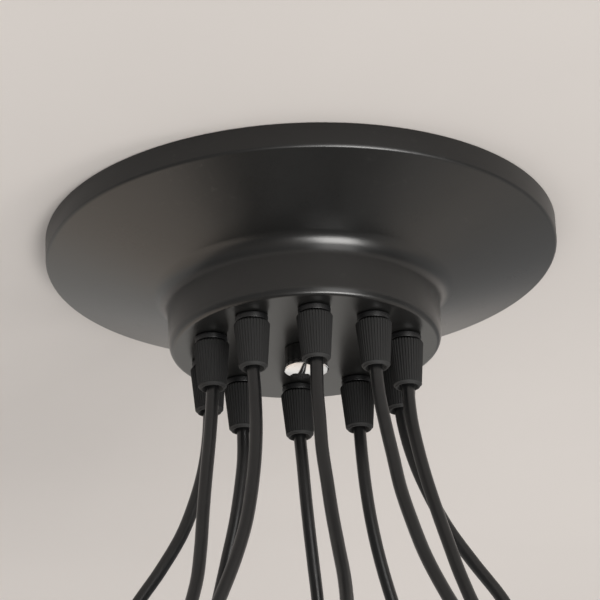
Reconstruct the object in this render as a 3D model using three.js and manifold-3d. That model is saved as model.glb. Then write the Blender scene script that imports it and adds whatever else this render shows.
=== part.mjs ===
// A ceiling chandelier with ten outlets. A spun steel canopy hides a strap that is screwed to the
// ceiling. A threaded rod hangs from the strap and carries the canopy on a collar and a cap nut.
// Ten cord grips stand in a ring in the canopy's cup. A cord leaves each grip, splays outwards,
// and is wound into a hanging coil with a lamp holder at its end.
// Millimetres. Z is up, the ceiling is the plane z = 0, and the canopy's axis is the Z axis.

import * as THREE from "three";
import { mergeVertices } from "three/addons/utils/BufferGeometryUtils.js";
import Module from "manifold-3d";

const wasm = await Module();
wasm.setup();

const TURN = 2 * Math.PI;
const DEGREE = Math.PI / 180;

// Clearances and overruns
const SEAT_GAP = 0.3; // between two pieces that rest on each other
const RUNNING_GAP = 0.4; // round a piece that turns
const OVERRUN = 2; // of a cutter past the face it cuts

// Canopy
const CANOPY_RADIUS = 125;
const CANOPY_WALL = 1.2;
const SKIRT_HEIGHT = 12;
const SKIRT_EDGE = 2;
const FACE_FALL = 19; // of the sloping face, from the skirt to the cup
const CUP_RADIUS = 66.5;
const CUP_FOOT_RADIUS = 66; // where its wall would meet its underside
const CUP_DEPTH = 58.5; // from the ceiling to the cup's underside
const CUP_FILLET = 7;
const CUP_EDGE = 2.6;
const CANOPY_FACETS = 36;
const OUTER_ARC_STEPS = 3;
const INNER_ARC_STEPS = 2;

// Ceiling strap
const STRAP_LENGTH = 160;
const STRAP_WIDTH = 24;
const STRAP_THICKNESS = 2;
const STRAP_PAD = 30; // length of each end that lies on the ceiling
const STRAP_STEP_RUN = 10;
const STRAP_STEP_FALL = 9;
const STRAP_SLOT_LENGTH = 14;
const STRAP_SLOT_WIDTH = 6;
const STRAP_SLOT_INSET = 6; // from the strap's end to the slot

// Threaded rod, its nuts, the collar and the cap nut
const ROD_RADIUS = 4;
const ROD_TOP_DEPTH = 2.5;
const ROD_FACETS = 16;
const ROD_NUT_FLATS = 13;
const ROD_NUT_HEIGHT = 5;
const COLLAR_RADIUS = 10.4;
const COLLAR_HEIGHT = 9.4;
const COLLAR_EDGE = 0.8;
const CAP_NUT_RADIUS = 10.9;
const CAP_NUT_RIM = 1.2;
const CAP_NUT_DOME = 3;
const CAP_NUT_WALL = 1.1; // of metal under the end of the rod
const CAP_NUT_FACETS = 18;
const DOME_STEPS = 4;

// Cord
const CORD_DIAMETER = 6.2;
const CORD_SIDES = 8;
const CORD_STEP = 3 * CORD_DIAMETER; // along a free stretch

// Cord grips
const OUTLETS = 10;
const GRIP_RING_RADIUS = 49;
const FIRST_GRIP_AZIMUTH = 23.6 * DEGREE;
const GRIP_BORE_RADIUS = 3.6;
const GRIP_SHANK_RADIUS = 5;
const GRIP_FLANGE_RADIUS = 7.8;
const GRIP_FLANGE_HEIGHT = 2.1;
const GRIP_FLANGE_EDGE = 0.7;
const GRIP_COLLET_RADIUS = 5.9;
const GRIP_COLLET_LENGTH = 12;
const GRIP_NUT_FLATS = 15;
const GRIP_NUT_HEIGHT = 3.6;
const GRIP_SHANK_ABOVE_NUT = 1.6;
const GRIP_FACETS = 10;

// Fluted grip caps
const CAP_LENGTH = 23.8;
const CAP_TOP_RADIUS = 8.6;
const CAP_FOOT_RADIUS = 6.7; // of the flutes at their lower end
const CAP_SHOULDER = 0.8;
const CAP_LIP_HEIGHT = 2;
const CAP_LIP_RADIUS = 6.2;
const CAP_LIP_CHAMFER = 0.9;
const CAP_MOUTH_RADIUS = 4.7;
const CAP_MOUTH_DEPTH = 2.4;
const CAP_GROOVE = 0.6; // open groove between the flange and the cap
const FLUTES = 12;
const FLUTE_DEPTH = 0.5;
const CAP_BORE_FACETS = 12;

// Pendants: where each cord comes to hang, its coil and its lamp holder
const DROP_RADIUS = 125;
const DROP_AZIMUTHS = [12, 58, 93, 133, 177, 209, 241, 278, 313, 341.5].map((a) => a * DEGREE);
const COIL_CENTRE_DEPTH = 300;
const COIL_OUTER_RADIUS = 45.8;
const COIL_SPACE = 0.8; // between turns that lie side by side
const COIL_TURNS_PER_LAYER = 2.5;
const COIL_CLIMB_TURNS = 0.5; // from one layer to the other
const COIL_STEPS_PER_TURN = 12;
const COIL_SIDES = 5;
const TAIL_LENGTH = 54;
const APPROACH_RISES = [46, 24]; // heights over the coil's centre where the cord bends upright
const APPROACH_INSETS = [10, 1.8]; // how far inside the drop line it is there

// Lamp holders
const HOLDER_RADIUS = 20;
const HOLDER_RIM_RADIUS = 20.8;
const HOLDER_RIM_HEIGHT = 6;
const HOLDER_LENGTH = 68;
const HOLDER_NECK_RADIUS = 7.2;
const HOLDER_NECK_LENGTH = 14;
const HOLDER_SHOULDER = 9;
const HOLDER_SHOULDER_STEPS = 2;
const HOLDER_MOUTH_RADIUS = 14.4;
const HOLDER_MOUTH_DEPTH = 40;
const HOLDER_FACETS = 10;

// Terminal block on the cup's floor
const BLOCK_LENGTH = 34;
const BLOCK_WIDTH = 17;
const BLOCK_HEIGHT = 13;
const BLOCK_TOWER_WIDTH = 10;
const BLOCK_FOOT_HEIGHT = 6;
const BLOCK_OFFSET = 24; // from the canopy's axis
const BLOCK_POLES = 3;
const BLOCK_GROOVE = 1.4;
const BLOCK_GROOVE_DEPTH = 5;
const BLOCK_WIRE_RADIUS = 1.7;
const BLOCK_SCREW_RADIUS = 1.9;
const BLOCK_SCREW_DEPTH = 3;
const SMALL_HOLE_FACETS = 6;

// Places worked out from the sizes
const FLOOR_Z = CANOPY_WALL - CUP_DEPTH; // the cup's floor, inside
const FACE_SLOPE = FACE_FALL / (CANOPY_RADIUS - CUP_RADIUS);
const STRAP_FACE_Z = -STRAP_STEP_FALL;
const COLLAR_TOP_Z = -CUP_DEPTH - SEAT_GAP;
const COLLAR_FOOT_Z = COLLAR_TOP_Z - COLLAR_HEIGHT;
const CAP_NUT_TOP_Z = COLLAR_FOOT_Z - SEAT_GAP;
const CAP_NUT_HOLE_DEPTH = CAP_NUT_RIM + CAP_NUT_DOME - CAP_NUT_WALL;
const GRIP_FLANGE_FOOT = -SEAT_GAP - GRIP_FLANGE_HEIGHT; // from here on, below the cup's underside
const COLLET_FOOT = GRIP_FLANGE_FOOT - GRIP_COLLET_LENGTH;
const CAP_TOP = GRIP_FLANGE_FOOT - CAP_GROOVE;
const CAP_FOOT = CAP_TOP - CAP_LENGTH;
const COIL_AXIS_RADIUS = DROP_RADIUS - COIL_OUTER_RADIUS;
const COIL_PITCH = CORD_DIAMETER + COIL_SPACE;
const COIL_TOP_Z = CORD_DIAMETER - COIL_CENTRE_DEPTH; // where its straight upper end begins
const HOLDER_TOP_DEPTH = COIL_CENTRE_DEPTH + TAIL_LENGTH + SEAT_GAP;

// The cords' routes from below the grip to where each comes to hang, x, y and z of each point,
// anticlockwise from the right of the canopy
const ROUTES = [
  [[47, 19.5, -100], [50.8, 19, -115], [56.5, 18, -131], [64.3, 17, -148],
    [75.2, 16, -166], [87.5, 15, -185], [97, 16, -205], [104.5, 17.5, -227]],
  [[25.3, 42.5, -100], [26.3, 44, -115], [28.1, 46.5, -131], [31.1, 50.5, -148],
    [35.6, 56.5, -166], [41.6, 64, -185], [48.6, 73.5, -205], [56.1, 84, -227]],
  [[-4, 49.5, -100], [-3.3, 51, -115], [-2.3, 54, -131], [-1, 59.5, -148],
    [0.4, 67, -166], [1, 76.5, -185], [0.5, 88, -205], [-1, 101, -227]],
  [[-33, 37, -100], [-35, 38, -115], [-38, 40, -131], [-42.5, 44, -148],
    [-47.5, 49.5, -166], [-53, 57, -185], [-59.5, 66, -205], [-67, 76, -227]],
  [[-49, 10.5, -100], [-51.5, 10, -115], [-56, 9, -131], [-62.7, 8, -148],
    [-73.2, 6.5, -166], [-86.2, 5.5, -185], [-96.5, 6, -205], [-105, 7.5, -227]],
  [[-46, -19.5, -100], [-47.6, -19, -115], [-49.5, -19, -131], [-51.2, -20, -148],
    [-52.7, -22.5, -166], [-55.2, -27.5, -185], [-61.5, -34.5, -205], [-78.5, -44, -227]],
  [[-24.5, -42.5, -100], [-24.5, -44, -115], [-25.5, -46, -131], [-27.5, -50, -148],
    [-30.5, -56, -166], [-35.5, -63.5, -185], [-42, -73.5, -205], [-50, -85.5, -227]],
  [[4.5, -49, -100], [5, -50.5, -115], [5.5, -53, -131], [7, -57, -148],
    [8.5, -64, -166], [10.5, -73.5, -185], [12.5, -85.5, -205], [13, -99.5, -227]],
  [[33.5, -37, -100], [35.5, -38.5, -115], [38, -40.5, -131], [40.5, -44, -148],
    [44.5, -49.5, -166], [49.5, -56.5, -185], [56.5, -65.5, -205], [65.5, -75.5, -227]],
  [[48.5, -10.5, -100], [50.5, -11.5, -115], [53.5, -12.5, -131], [57.5, -14, -148],
    [62, -17, -166], [67, -20.5, -185], [74, -25, -205], [87.5, -32, -227]],
];

// Finishes
const satinBlack = new THREE.MeshStandardMaterial({ color: 0x2e2d2b, roughness: 0.45, metalness: 0.2 });
const zincPlate = new THREE.MeshStandardMaterial({ color: 0xb9bbbd, roughness: 0.35, metalness: 0.9 });
const chrome = new THREE.MeshStandardMaterial({ color: 0xe6e6e6, roughness: 0.05, metalness: 1 });
const blackNylon = new THREE.MeshStandardMaterial({ color: 0x1b1b1c, roughness: 0.6, metalness: 0 });
const blackSheath = new THREE.MeshStandardMaterial({ color: 0x1c1c1c, roughness: 0.35, metalness: 0 });
const blackResin = new THREE.MeshStandardMaterial({ color: 0x161616, roughness: 0.4, metalness: 0 });
const whiteNylon = new THREE.MeshStandardMaterial({ color: 0xe4e2da, roughness: 0.6, metalness: 0 });

// The points of an outline whose corners are [x, y, fillet radius, steps round the fillet].
function rounded(corners) {
  return corners.flatMap(([x, y, radius = 0, steps = 1], i) => {
    const corner = new THREE.Vector2(x, y);
    if (!radius) return [corner];
    const before = new THREE.Vector2(...corners[i - 1]).sub(corner).normalize();
    const after = new THREE.Vector2(...corners[i + 1]).sub(corner).normalize();
    const half = Math.acos(before.dot(after)) / 2;
    const middle = before.clone().add(after).normalize();
    const centre = corner.clone().addScaledVector(middle, radius / Math.sin(half));
    const start = corner.clone().addScaledVector(before, radius / Math.tan(half));
    const sweep = (Math.PI - 2 * half) * Math.sign(after.cross(before));
    return Array.from({ length: steps + 1 }, (_, step) =>
      start.clone().rotateAround(centre, (sweep * step) / steps),
    );
  });
}

// A solid of revolution about Z. The outline's x is the radius and its y the height. It runs
// either from axis to axis or round a ring, in either direction.
function revolved(outline, facets) {
  const onAxis = outline[0].x === 0;
  let area = 0;
  outline.forEach((p, i) => {
    area += p.cross(outline[(i + 1) % outline.length]);
  });
  const points = area > 0 ? outline : [...outline].reverse();
  const closed = onAxis ? points : [...points, points[0].clone()];
  return new THREE.LatheGeometry(closed, facets).rotateX(Math.PI / 2);
}

// A cylinder or prism that stands on Z.
function upright(radius, bottom, top, facets) {
  const made = new THREE.CylinderGeometry(radius, radius, top - bottom, facets);
  return made.rotateX(Math.PI / 2).translate(0, 0, (top + bottom) / 2);
}

// A hexagonal prism with flats this far apart.
function hexagon(flats, bottom, top) {
  return upright(flats / Math.sqrt(3), bottom, top, 6);
}

// A box whose middle is at x, y and z.
function block(length, width, height, x, y, z) {
  return new THREE.BoxGeometry(length, width, height).translate(x, y, z);
}

// An outline in X and Z, drawn out along Y to this width.
function drawn(outline, width) {
  const made = new THREE.ExtrudeGeometry(new THREE.Shape(outline), { depth: width, bevelEnabled: false });
  return made.rotateX(Math.PI / 2).translate(0, width / 2, 0);
}

function solid(geometry) {
  const bare = geometry.clone();
  bare.deleteAttribute("normal");
  bare.deleteAttribute("uv");
  const merged = mergeVertices(bare);
  const mesh = new wasm.Mesh({
    numProp: 3,
    vertProperties: merged.attributes.position.array,
    triVerts: new Uint32Array(merged.index.array),
  });
  return new wasm.Manifold(mesh);
}

function geometryOf(made) {
  const mesh = made.getMesh();
  const geometry = new THREE.BufferGeometry();
  geometry.setAttribute("position", new THREE.BufferAttribute(mesh.vertProperties, 3));
  geometry.setIndex(new THREE.BufferAttribute(mesh.triVerts, 1));
  return geometry;
}

// One piece with others cut from it.
function cut(piece, cutters) {
  return geometryOf(cutters.reduce((made, cutter) => made.subtract(solid(cutter)), solid(piece)));
}

// A solid through rings that have as many points each, with flat ends. Seen from the first ring's
// end, each ring runs clockwise.
function skinned(rings) {
  const count = rings[0].length;
  const positions = rings.flat().flatMap((p) => [p.x, p.y, p.z]);
  const index = [];
  for (let here = 0; here < count * (rings.length - 1); here += count) {
    for (let i = 0; i < count; i += 1) {
      const j = (i + 1) % count;
      index.push(here + i, here + j, here + count + j, here + i, here + count + j, here + count + i);
    }
  }
  const last = count * (rings.length - 1);
  for (let i = 1; i + 1 < count; i += 1) {
    index.push(0, i + 1, i, last, last + i, last + i + 1);
  }
  const geometry = new THREE.BufferGeometry();
  geometry.setAttribute("position", new THREE.Float32BufferAttribute(positions, 3));
  geometry.setIndex(index);
  return geometry;
}

// A tube through points. Its section keeps one corner towards the given axis.
function tube(points, radius, sides, axis) {
  return skinned(points.map((point, i) => {
    const ahead = points[Math.min(i + 1, points.length - 1)];
    const behind = points[Math.max(i - 1, 0)];
    const along = ahead.clone().sub(behind).normalize();
    const up = axis.clone().addScaledVector(along, -axis.dot(along)).normalize();
    const side = along.clone().cross(up);
    return Array.from({ length: sides }, (_, k) => {
      const angle = (k * TURN) / sides;
      const place = point.clone().addScaledVector(up, radius * Math.cos(angle));
      return place.addScaledVector(side, radius * Math.sin(angle));
    });
  }));
}

const chandelier = new THREE.Group();

function add(name, geometry, material, parent = chandelier) {
  const mesh = new THREE.Mesh(geometry, material);
  mesh.name = name;
  parent.add(mesh);
  return mesh;
}

// The group of a pendant or grip: its X axis points outwards at this azimuth.
function spoke(azimuth) {
  const group = new THREE.Group();
  group.rotation.z = azimuth;
  chandelier.add(group);
  return group;
}

// Canopy: one spun sheet, with a short upright skirt, a sloping face and a deep cup
function canopy() {
  const outer = CANOPY_RADIUS;
  const inner = CANOPY_RADIUS - CANOPY_WALL;
  const lift = CANOPY_WALL * Math.hypot(1, FACE_SLOPE);
  const cupInner = CUP_RADIUS - CANOPY_WALL;
  const hole = ROD_RADIUS + SEAT_GAP;
  const faceAt = (radius) => lift - SKIRT_HEIGHT - (outer - radius) * FACE_SLOPE;
  const outline = rounded([
    [hole, -CUP_DEPTH],
    [CUP_FOOT_RADIUS, -CUP_DEPTH, CUP_EDGE, OUTER_ARC_STEPS],
    [CUP_RADIUS, -SKIRT_HEIGHT - FACE_FALL, CUP_FILLET, OUTER_ARC_STEPS],
    [outer, -SKIRT_HEIGHT, SKIRT_EDGE, OUTER_ARC_STEPS],
    [outer, 0],
    [inner, 0],
    [inner, faceAt(inner), SKIRT_EDGE - CANOPY_WALL],
    [cupInner, faceAt(cupInner), CUP_FILLET + CANOPY_WALL, INNER_ARC_STEPS],
    [CUP_FOOT_RADIUS - CANOPY_WALL, FLOOR_Z, CUP_EDGE - CANOPY_WALL, INNER_ARC_STEPS],
    [hole, FLOOR_Z],
  ]);
  const holes = Array.from({ length: OUTLETS }, (_, i) => {
    const azimuth = FIRST_GRIP_AZIMUTH + (i * TURN) / OUTLETS;
    const drill = upright(GRIP_SHANK_RADIUS + SEAT_GAP, -CUP_DEPTH - OVERRUN, FLOOR_Z + OVERRUN, GRIP_FACETS);
    return drill.translate(GRIP_RING_RADIUS, 0, 0).rotateZ(azimuth);
  });
  return cut(revolved(outline, CANOPY_FACETS), holes);
}

// Ceiling strap: a flat bar whose middle is stepped down to leave room for the rod's upper nut
function ceilingStrap() {
  const end = STRAP_LENGTH / 2;
  const pad = end - STRAP_PAD;
  const foot = pad - STRAP_STEP_RUN;
  const top = [[-end, 0], [-pad, 0], [-foot, STRAP_FACE_Z], [foot, STRAP_FACE_Z], [pad, 0], [end, 0]];
  const under = [...top].reverse().map(([x, z]) => [x, z - STRAP_THICKNESS]);
  const outline = [...under, ...top].map(([x, z]) => new THREE.Vector2(x, z));
  const bar = drawn(outline, STRAP_WIDTH);
  const straight = STRAP_SLOT_LENGTH - STRAP_SLOT_WIDTH;
  const slotMiddle = end - STRAP_SLOT_INSET - STRAP_SLOT_LENGTH / 2;
  const depth = STRAP_THICKNESS + 2 * OVERRUN;
  const middle = -STRAP_THICKNESS / 2;
  const slots = [-1, 1].flatMap((hand) => [
    block(straight, STRAP_SLOT_WIDTH, depth, hand * slotMiddle, 0, middle),
    ...[-1, 1].map((side) => {
      const round = upright(STRAP_SLOT_WIDTH / 2, middle - depth / 2, middle + depth / 2, GRIP_FACETS);
      return round.translate(hand * slotMiddle + (side * straight) / 2, 0, 0);
    }),
  ]);
  const hole = upright(ROD_RADIUS + SEAT_GAP, STRAP_FACE_Z - STRAP_THICKNESS - OVERRUN, OVERRUN, ROD_FACETS);
  return cut(bar, [...slots, hole]);
}

function rodNut(top) {
  const nut = hexagon(ROD_NUT_FLATS, top - ROD_NUT_HEIGHT, top);
  const bore = upright(ROD_RADIUS + SEAT_GAP, top - ROD_NUT_HEIGHT - OVERRUN, top + OVERRUN, ROD_FACETS);
  return cut(nut, [bore]);
}

function collar() {
  const bore = ROD_RADIUS + SEAT_GAP;
  const outline = rounded([
    [bore, COLLAR_FOOT_Z],
    [COLLAR_RADIUS, COLLAR_FOOT_Z, COLLAR_EDGE],
    [COLLAR_RADIUS, COLLAR_TOP_Z],
    [bore, COLLAR_TOP_Z],
  ]);
  return revolved(outline, CAP_NUT_FACETS);
}

// Cap nut: a short rim and a shallow dome, with a blind hole for the rod's end
function capNut() {
  const bore = ROD_RADIUS + RUNNING_GAP;
  const rimFoot = CAP_NUT_TOP_Z - CAP_NUT_RIM;
  const dome = Array.from({ length: DOME_STEPS + 1 }, (_, i) => {
    const angle = ((i / DOME_STEPS) * Math.PI) / 2;
    return new THREE.Vector2(CAP_NUT_RADIUS * Math.sin(angle), rimFoot - CAP_NUT_DOME * Math.cos(angle));
  });
  const outline = [
    ...dome,
    new THREE.Vector2(CAP_NUT_RADIUS, CAP_NUT_TOP_Z),
    new THREE.Vector2(bore, CAP_NUT_TOP_Z),
    new THREE.Vector2(bore, CAP_NUT_TOP_Z - CAP_NUT_HOLE_DEPTH),
    new THREE.Vector2(0, CAP_NUT_TOP_Z - CAP_NUT_HOLE_DEPTH),
  ];
  return revolved(outline, CAP_NUT_FACETS);
}

// Grip base: a shank through the canopy, a flange below it, a nut above it, and the collet that the
// fluted cap closes on. Heights are from the cup's underside.
function gripBase() {
  const nutFoot = CANOPY_WALL + SEAT_GAP;
  const nutTop = nutFoot + GRIP_NUT_HEIGHT;
  const top = nutTop + GRIP_SHANK_ABOVE_NUT;
  const outline = rounded([
    [GRIP_BORE_RADIUS, COLLET_FOOT],
    [GRIP_COLLET_RADIUS, COLLET_FOOT],
    [GRIP_COLLET_RADIUS, GRIP_FLANGE_FOOT],
    [GRIP_FLANGE_RADIUS, GRIP_FLANGE_FOOT],
    [GRIP_FLANGE_RADIUS, -SEAT_GAP, GRIP_FLANGE_EDGE],
    [GRIP_SHANK_RADIUS, -SEAT_GAP],
    [GRIP_SHANK_RADIUS, top],
    [GRIP_BORE_RADIUS, top],
  ]);
  const nut = solid(hexagon(GRIP_NUT_FLATS, nutFoot, nutTop));
  const bore = solid(upright(GRIP_SHANK_RADIUS - SEAT_GAP, nutFoot - OVERRUN, nutTop + OVERRUN, GRIP_FACETS));
  return geometryOf(solid(revolved(outline, GRIP_FACETS)).add(nut.subtract(bore)));
}

// Fluted cap: it tapers to a smooth lip. Inside, it holds the collet, narrows round the cord and
// ends in a countersunk mouth.
function gripCap() {
  const corners = 2 * FLUTES;
  const ring = (radius, z, depth = 0) =>
    Array.from({ length: corners }, (_, i) => {
      const reach = i % 2 ? radius - depth : radius;
      const angle = (i * TURN) / corners;
      return new THREE.Vector3(reach * Math.cos(angle), reach * Math.sin(angle), z);
    });
  const body = skinned([
    ring(CAP_LIP_RADIUS - CAP_LIP_CHAMFER, CAP_FOOT),
    ring(CAP_LIP_RADIUS, CAP_FOOT + CAP_LIP_CHAMFER),
    ring(CAP_FOOT_RADIUS, CAP_FOOT + CAP_LIP_HEIGHT, FLUTE_DEPTH),
    ring(CAP_TOP_RADIUS, CAP_TOP - CAP_SHOULDER, FLUTE_DEPTH),
    ring(CAP_TOP_RADIUS - CAP_SHOULDER, CAP_TOP),
  ]);
  const colletRoom = (GRIP_COLLET_RADIUS + RUNNING_GAP) / Math.cos(Math.PI / CAP_BORE_FACETS);
  const flare = (CAP_MOUTH_RADIUS - GRIP_BORE_RADIUS) / CAP_MOUTH_DEPTH;
  const bore = [
    [0, CAP_FOOT - OVERRUN],
    [CAP_MOUTH_RADIUS + OVERRUN * flare, CAP_FOOT - OVERRUN],
    [GRIP_BORE_RADIUS, CAP_FOOT + CAP_MOUTH_DEPTH],
    [colletRoom, COLLET_FOOT - RUNNING_GAP],
    [colletRoom, CAP_TOP + OVERRUN],
    [0, CAP_TOP + OVERRUN],
  ];
  return cut(body, [revolved(rounded(bore), CAP_BORE_FACETS)]);
}

// Where the cord hangs, seen from above, this far from the canopy's axis and off the coil's middle
function dropPoint(azimuth, radius, offset, z) {
  return new THREE.Vector3(radius, offset, z).applyAxisAngle(new THREE.Vector3(0, 0, 1), azimuth);
}

// The free stretch of a cord, from the canopy's floor through its grip to the start of its coil
function freeStretch(i) {
  const azimuth = FIRST_GRIP_AZIMUTH + (i * TURN) / OUTLETS;
  const inGrip = [CANOPY_WALL, COLLET_FOOT, CAP_FOOT].map((z) =>
    dropPoint(azimuth, GRIP_RING_RADIUS, 0, z - CUP_DEPTH),
  );
  const free = ROUTES[i].map((p) => new THREE.Vector3(...p));
  const hang = DROP_AZIMUTHS[i];
  const layer = -COIL_PITCH / 2;
  const approach = APPROACH_RISES.map((rise, k) =>
    dropPoint(hang, DROP_RADIUS - APPROACH_INSETS[k], layer, rise - COIL_CENTRE_DEPTH),
  );
  const end = COIL_TOP_Z + SEAT_GAP;
  const lead = [end + CORD_DIAMETER, end].map((z) => dropPoint(hang, DROP_RADIUS, layer, z));
  const path = new THREE.CatmullRomCurve3([...inGrip, ...free, ...approach, ...lead]);
  const section = Array.from({ length: CORD_SIDES }, (_, k) => {
    const angle = (k * TURN) / CORD_SIDES;
    return new THREE.Vector2(Math.cos(angle), Math.sin(angle)).multiplyScalar(CORD_DIAMETER / 2);
  });
  const steps = Math.round(path.getLength() / CORD_STEP);
  const along = { steps, extrudePath: path, bevelEnabled: false };
  return new THREE.ExtrudeGeometry(new THREE.Shape(section), along);
}

// The coil's centreline in the plane of its pendant: it winds in by a steady spiral, climbs to the
// second layer in the half turn where the spiral reverses, winds out again and hangs straight down
function coilLine() {
  const turns = 2 * COIL_TURNS_PER_LAYER;
  const steps = turns * COIL_STEPS_PER_TURN;
  const climb = [COIL_TURNS_PER_LAYER - COIL_CLIMB_TURNS / 2, COIL_TURNS_PER_LAYER + COIL_CLIMB_TURNS / 2];
  const line = [new THREE.Vector3(DROP_RADIUS, -COIL_PITCH / 2, COIL_TOP_Z)];
  for (let step = 0; step <= steps; step += 1) {
    const turned = step / COIL_STEPS_PER_TURN;
    const wound = Math.min(turned, turns - turned);
    const radius = COIL_OUTER_RADIUS - COIL_PITCH * wound;
    const layer = COIL_PITCH * (THREE.MathUtils.smoothstep(turned, ...climb) - 1 / 2);
    const angle = -TURN * turned;
    const out = COIL_AXIS_RADIUS + radius * Math.cos(angle);
    line.push(new THREE.Vector3(out, layer, radius * Math.sin(angle) - COIL_CENTRE_DEPTH));
  }
  line.push(new THREE.Vector3(DROP_RADIUS, COIL_PITCH / 2, -COIL_CENTRE_DEPTH - TAIL_LENGTH));
  return line;
}

// The least gap between two stretches of a wound tube, measured on points along it
function leastGap(line, diameter) {
  const curve = new THREE.CurvePath();
  for (let i = 0; i + 1 < line.length; i += 1) {
    curve.add(new THREE.LineCurve3(line[i], line[i + 1]));
  }
  const length = curve.getLength();
  const count = Math.round(length / (diameter / 2));
  const points = curve.getSpacedPoints(count);
  const apart = Math.ceil((3 * diameter * count) / length);
  let least = Infinity;
  points.forEach((p, i) => {
    points.slice(i + apart).forEach((q) => {
      least = Math.min(least, p.distanceTo(q));
    });
  });
  return least - diameter;
}

// Lamp holder: a neck that grips the cord, a round shoulder, a barrel with a rim, and the open mouth
function lampHolder() {
  const foot = -HOLDER_LENGTH;
  const outline = rounded([
    [0, 0],
    [HOLDER_NECK_RADIUS, 0],
    [HOLDER_NECK_RADIUS, -HOLDER_NECK_LENGTH],
    [HOLDER_RADIUS, -HOLDER_NECK_LENGTH, HOLDER_SHOULDER, HOLDER_SHOULDER_STEPS],
    [HOLDER_RADIUS, foot + HOLDER_RIM_HEIGHT],
    [HOLDER_RIM_RADIUS, foot + HOLDER_RIM_HEIGHT],
    [HOLDER_RIM_RADIUS, foot],
    [HOLDER_MOUTH_RADIUS, foot],
    [HOLDER_MOUTH_RADIUS, foot + HOLDER_MOUTH_DEPTH],
    [0, foot + HOLDER_MOUTH_DEPTH],
  ]);
  return revolved(outline, HOLDER_FACETS);
}

// Terminal block: a stepped body with a wire way and two screw wells for each pole
function terminalBlock() {
  const half = BLOCK_WIDTH / 2;
  const tower = BLOCK_TOWER_WIDTH / 2;
  const outline = [
    [-half, 0], [half, 0], [half, BLOCK_FOOT_HEIGHT], [tower, BLOCK_FOOT_HEIGHT],
    [tower, BLOCK_HEIGHT], [-tower, BLOCK_HEIGHT], [-tower, BLOCK_FOOT_HEIGHT], [-half, BLOCK_FOOT_HEIGHT],
  ].map(([x, z]) => new THREE.Vector2(x, z));
  const body = drawn(outline, BLOCK_LENGTH).rotateZ(Math.PI / 2);
  const pitch = BLOCK_LENGTH / BLOCK_POLES;
  const cutters = [];
  for (let pole = 0; pole < BLOCK_POLES; pole += 1) {
    const x = (pole - (BLOCK_POLES - 1) / 2) * pitch;
    const through = BLOCK_WIDTH + OVERRUN;
    const way = new THREE.CylinderGeometry(BLOCK_WIRE_RADIUS, BLOCK_WIRE_RADIUS, through, SMALL_HOLE_FACETS);
    cutters.push(way.translate(x, 0, BLOCK_FOOT_HEIGHT / 2));
    const wellFloor = BLOCK_HEIGHT - BLOCK_SCREW_DEPTH;
    [-1, 1].forEach((side) => {
      const well = upright(BLOCK_SCREW_RADIUS, wellFloor, BLOCK_HEIGHT + OVERRUN, SMALL_HOLE_FACETS);
      cutters.push(well.translate(x, (side * tower) / 2, 0));
    });
    if (pole) {
      cutters.push(block(BLOCK_GROOVE, through, 2 * BLOCK_GROOVE_DEPTH, x - pitch / 2, 0, BLOCK_HEIGHT));
    }
  }
  return cut(body, cutters);
}

add("canopy", canopy(), satinBlack);
add("ceiling_strap", ceilingStrap(), zincPlate);
const rodFoot = CAP_NUT_TOP_Z - CAP_NUT_HOLE_DEPTH + SEAT_GAP;
add("threaded_rod", upright(ROD_RADIUS, rodFoot, -ROD_TOP_DEPTH, ROD_FACETS), zincPlate);
add("rod_upper_nut", rodNut(STRAP_FACE_Z + SEAT_GAP + ROD_NUT_HEIGHT), zincPlate);
add("rod_lower_nut", rodNut(STRAP_FACE_Z - STRAP_THICKNESS - SEAT_GAP), zincPlate);
add("centre_collar", collar(), satinBlack);
add("centre_cap_nut", capNut(), chrome);
const terminals = add("terminal_block", terminalBlock(), whiteNylon);
terminals.position.set(0, BLOCK_OFFSET, FLOOR_Z + SEAT_GAP);

const base = gripBase();
const cap = gripCap();
const holder = lampHolder();
const line = coilLine();
const coil = tube(line, CORD_DIAMETER / 2, COIL_SIDES, new THREE.Vector3(0, 1, 0));
console.log("least gap of a coil to itself: " + leastGap(line, CORD_DIAMETER).toFixed(2) + " mm");

for (let i = 0; i < OUTLETS; i += 1) {
  const place = spoke(FIRST_GRIP_AZIMUTH + (i * TURN) / OUTLETS);
  [["grip_base_", base], ["grip_cap_", cap]].forEach(([name, geometry]) => {
    const mesh = add(name + (i + 1), geometry, blackNylon, place);
    mesh.position.set(GRIP_RING_RADIUS, 0, -CUP_DEPTH);
  });
}

for (let i = 0; i < ROUTES.length; i += 1) {
  add("cord_" + (i + 1), freeStretch(i), blackSheath);
  const pendant = spoke(DROP_AZIMUTHS[i]);
  add("cord_coil_" + (i + 1), coil, blackSheath, pendant);
  const lamp = add("lamp_holder_" + (i + 1), holder, blackResin, pendant);
  lamp.position.set(DROP_RADIUS, COIL_PITCH / 2, -HOLDER_TOP_DEPTH);
}

export default chandelier;
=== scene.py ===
"""A ceiling chandelier with ten hanging cords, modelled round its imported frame.

Metres. Z is up, the ceiling is the plane z = 0, and the canopy's axis is the Z axis.
"""

import math
from contextlib import contextmanager

import bmesh
import bpy
from bpy.props import FloatProperty, FloatVectorProperty, IntProperty, PointerProperty
from mathutils import Matrix, Vector


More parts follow.
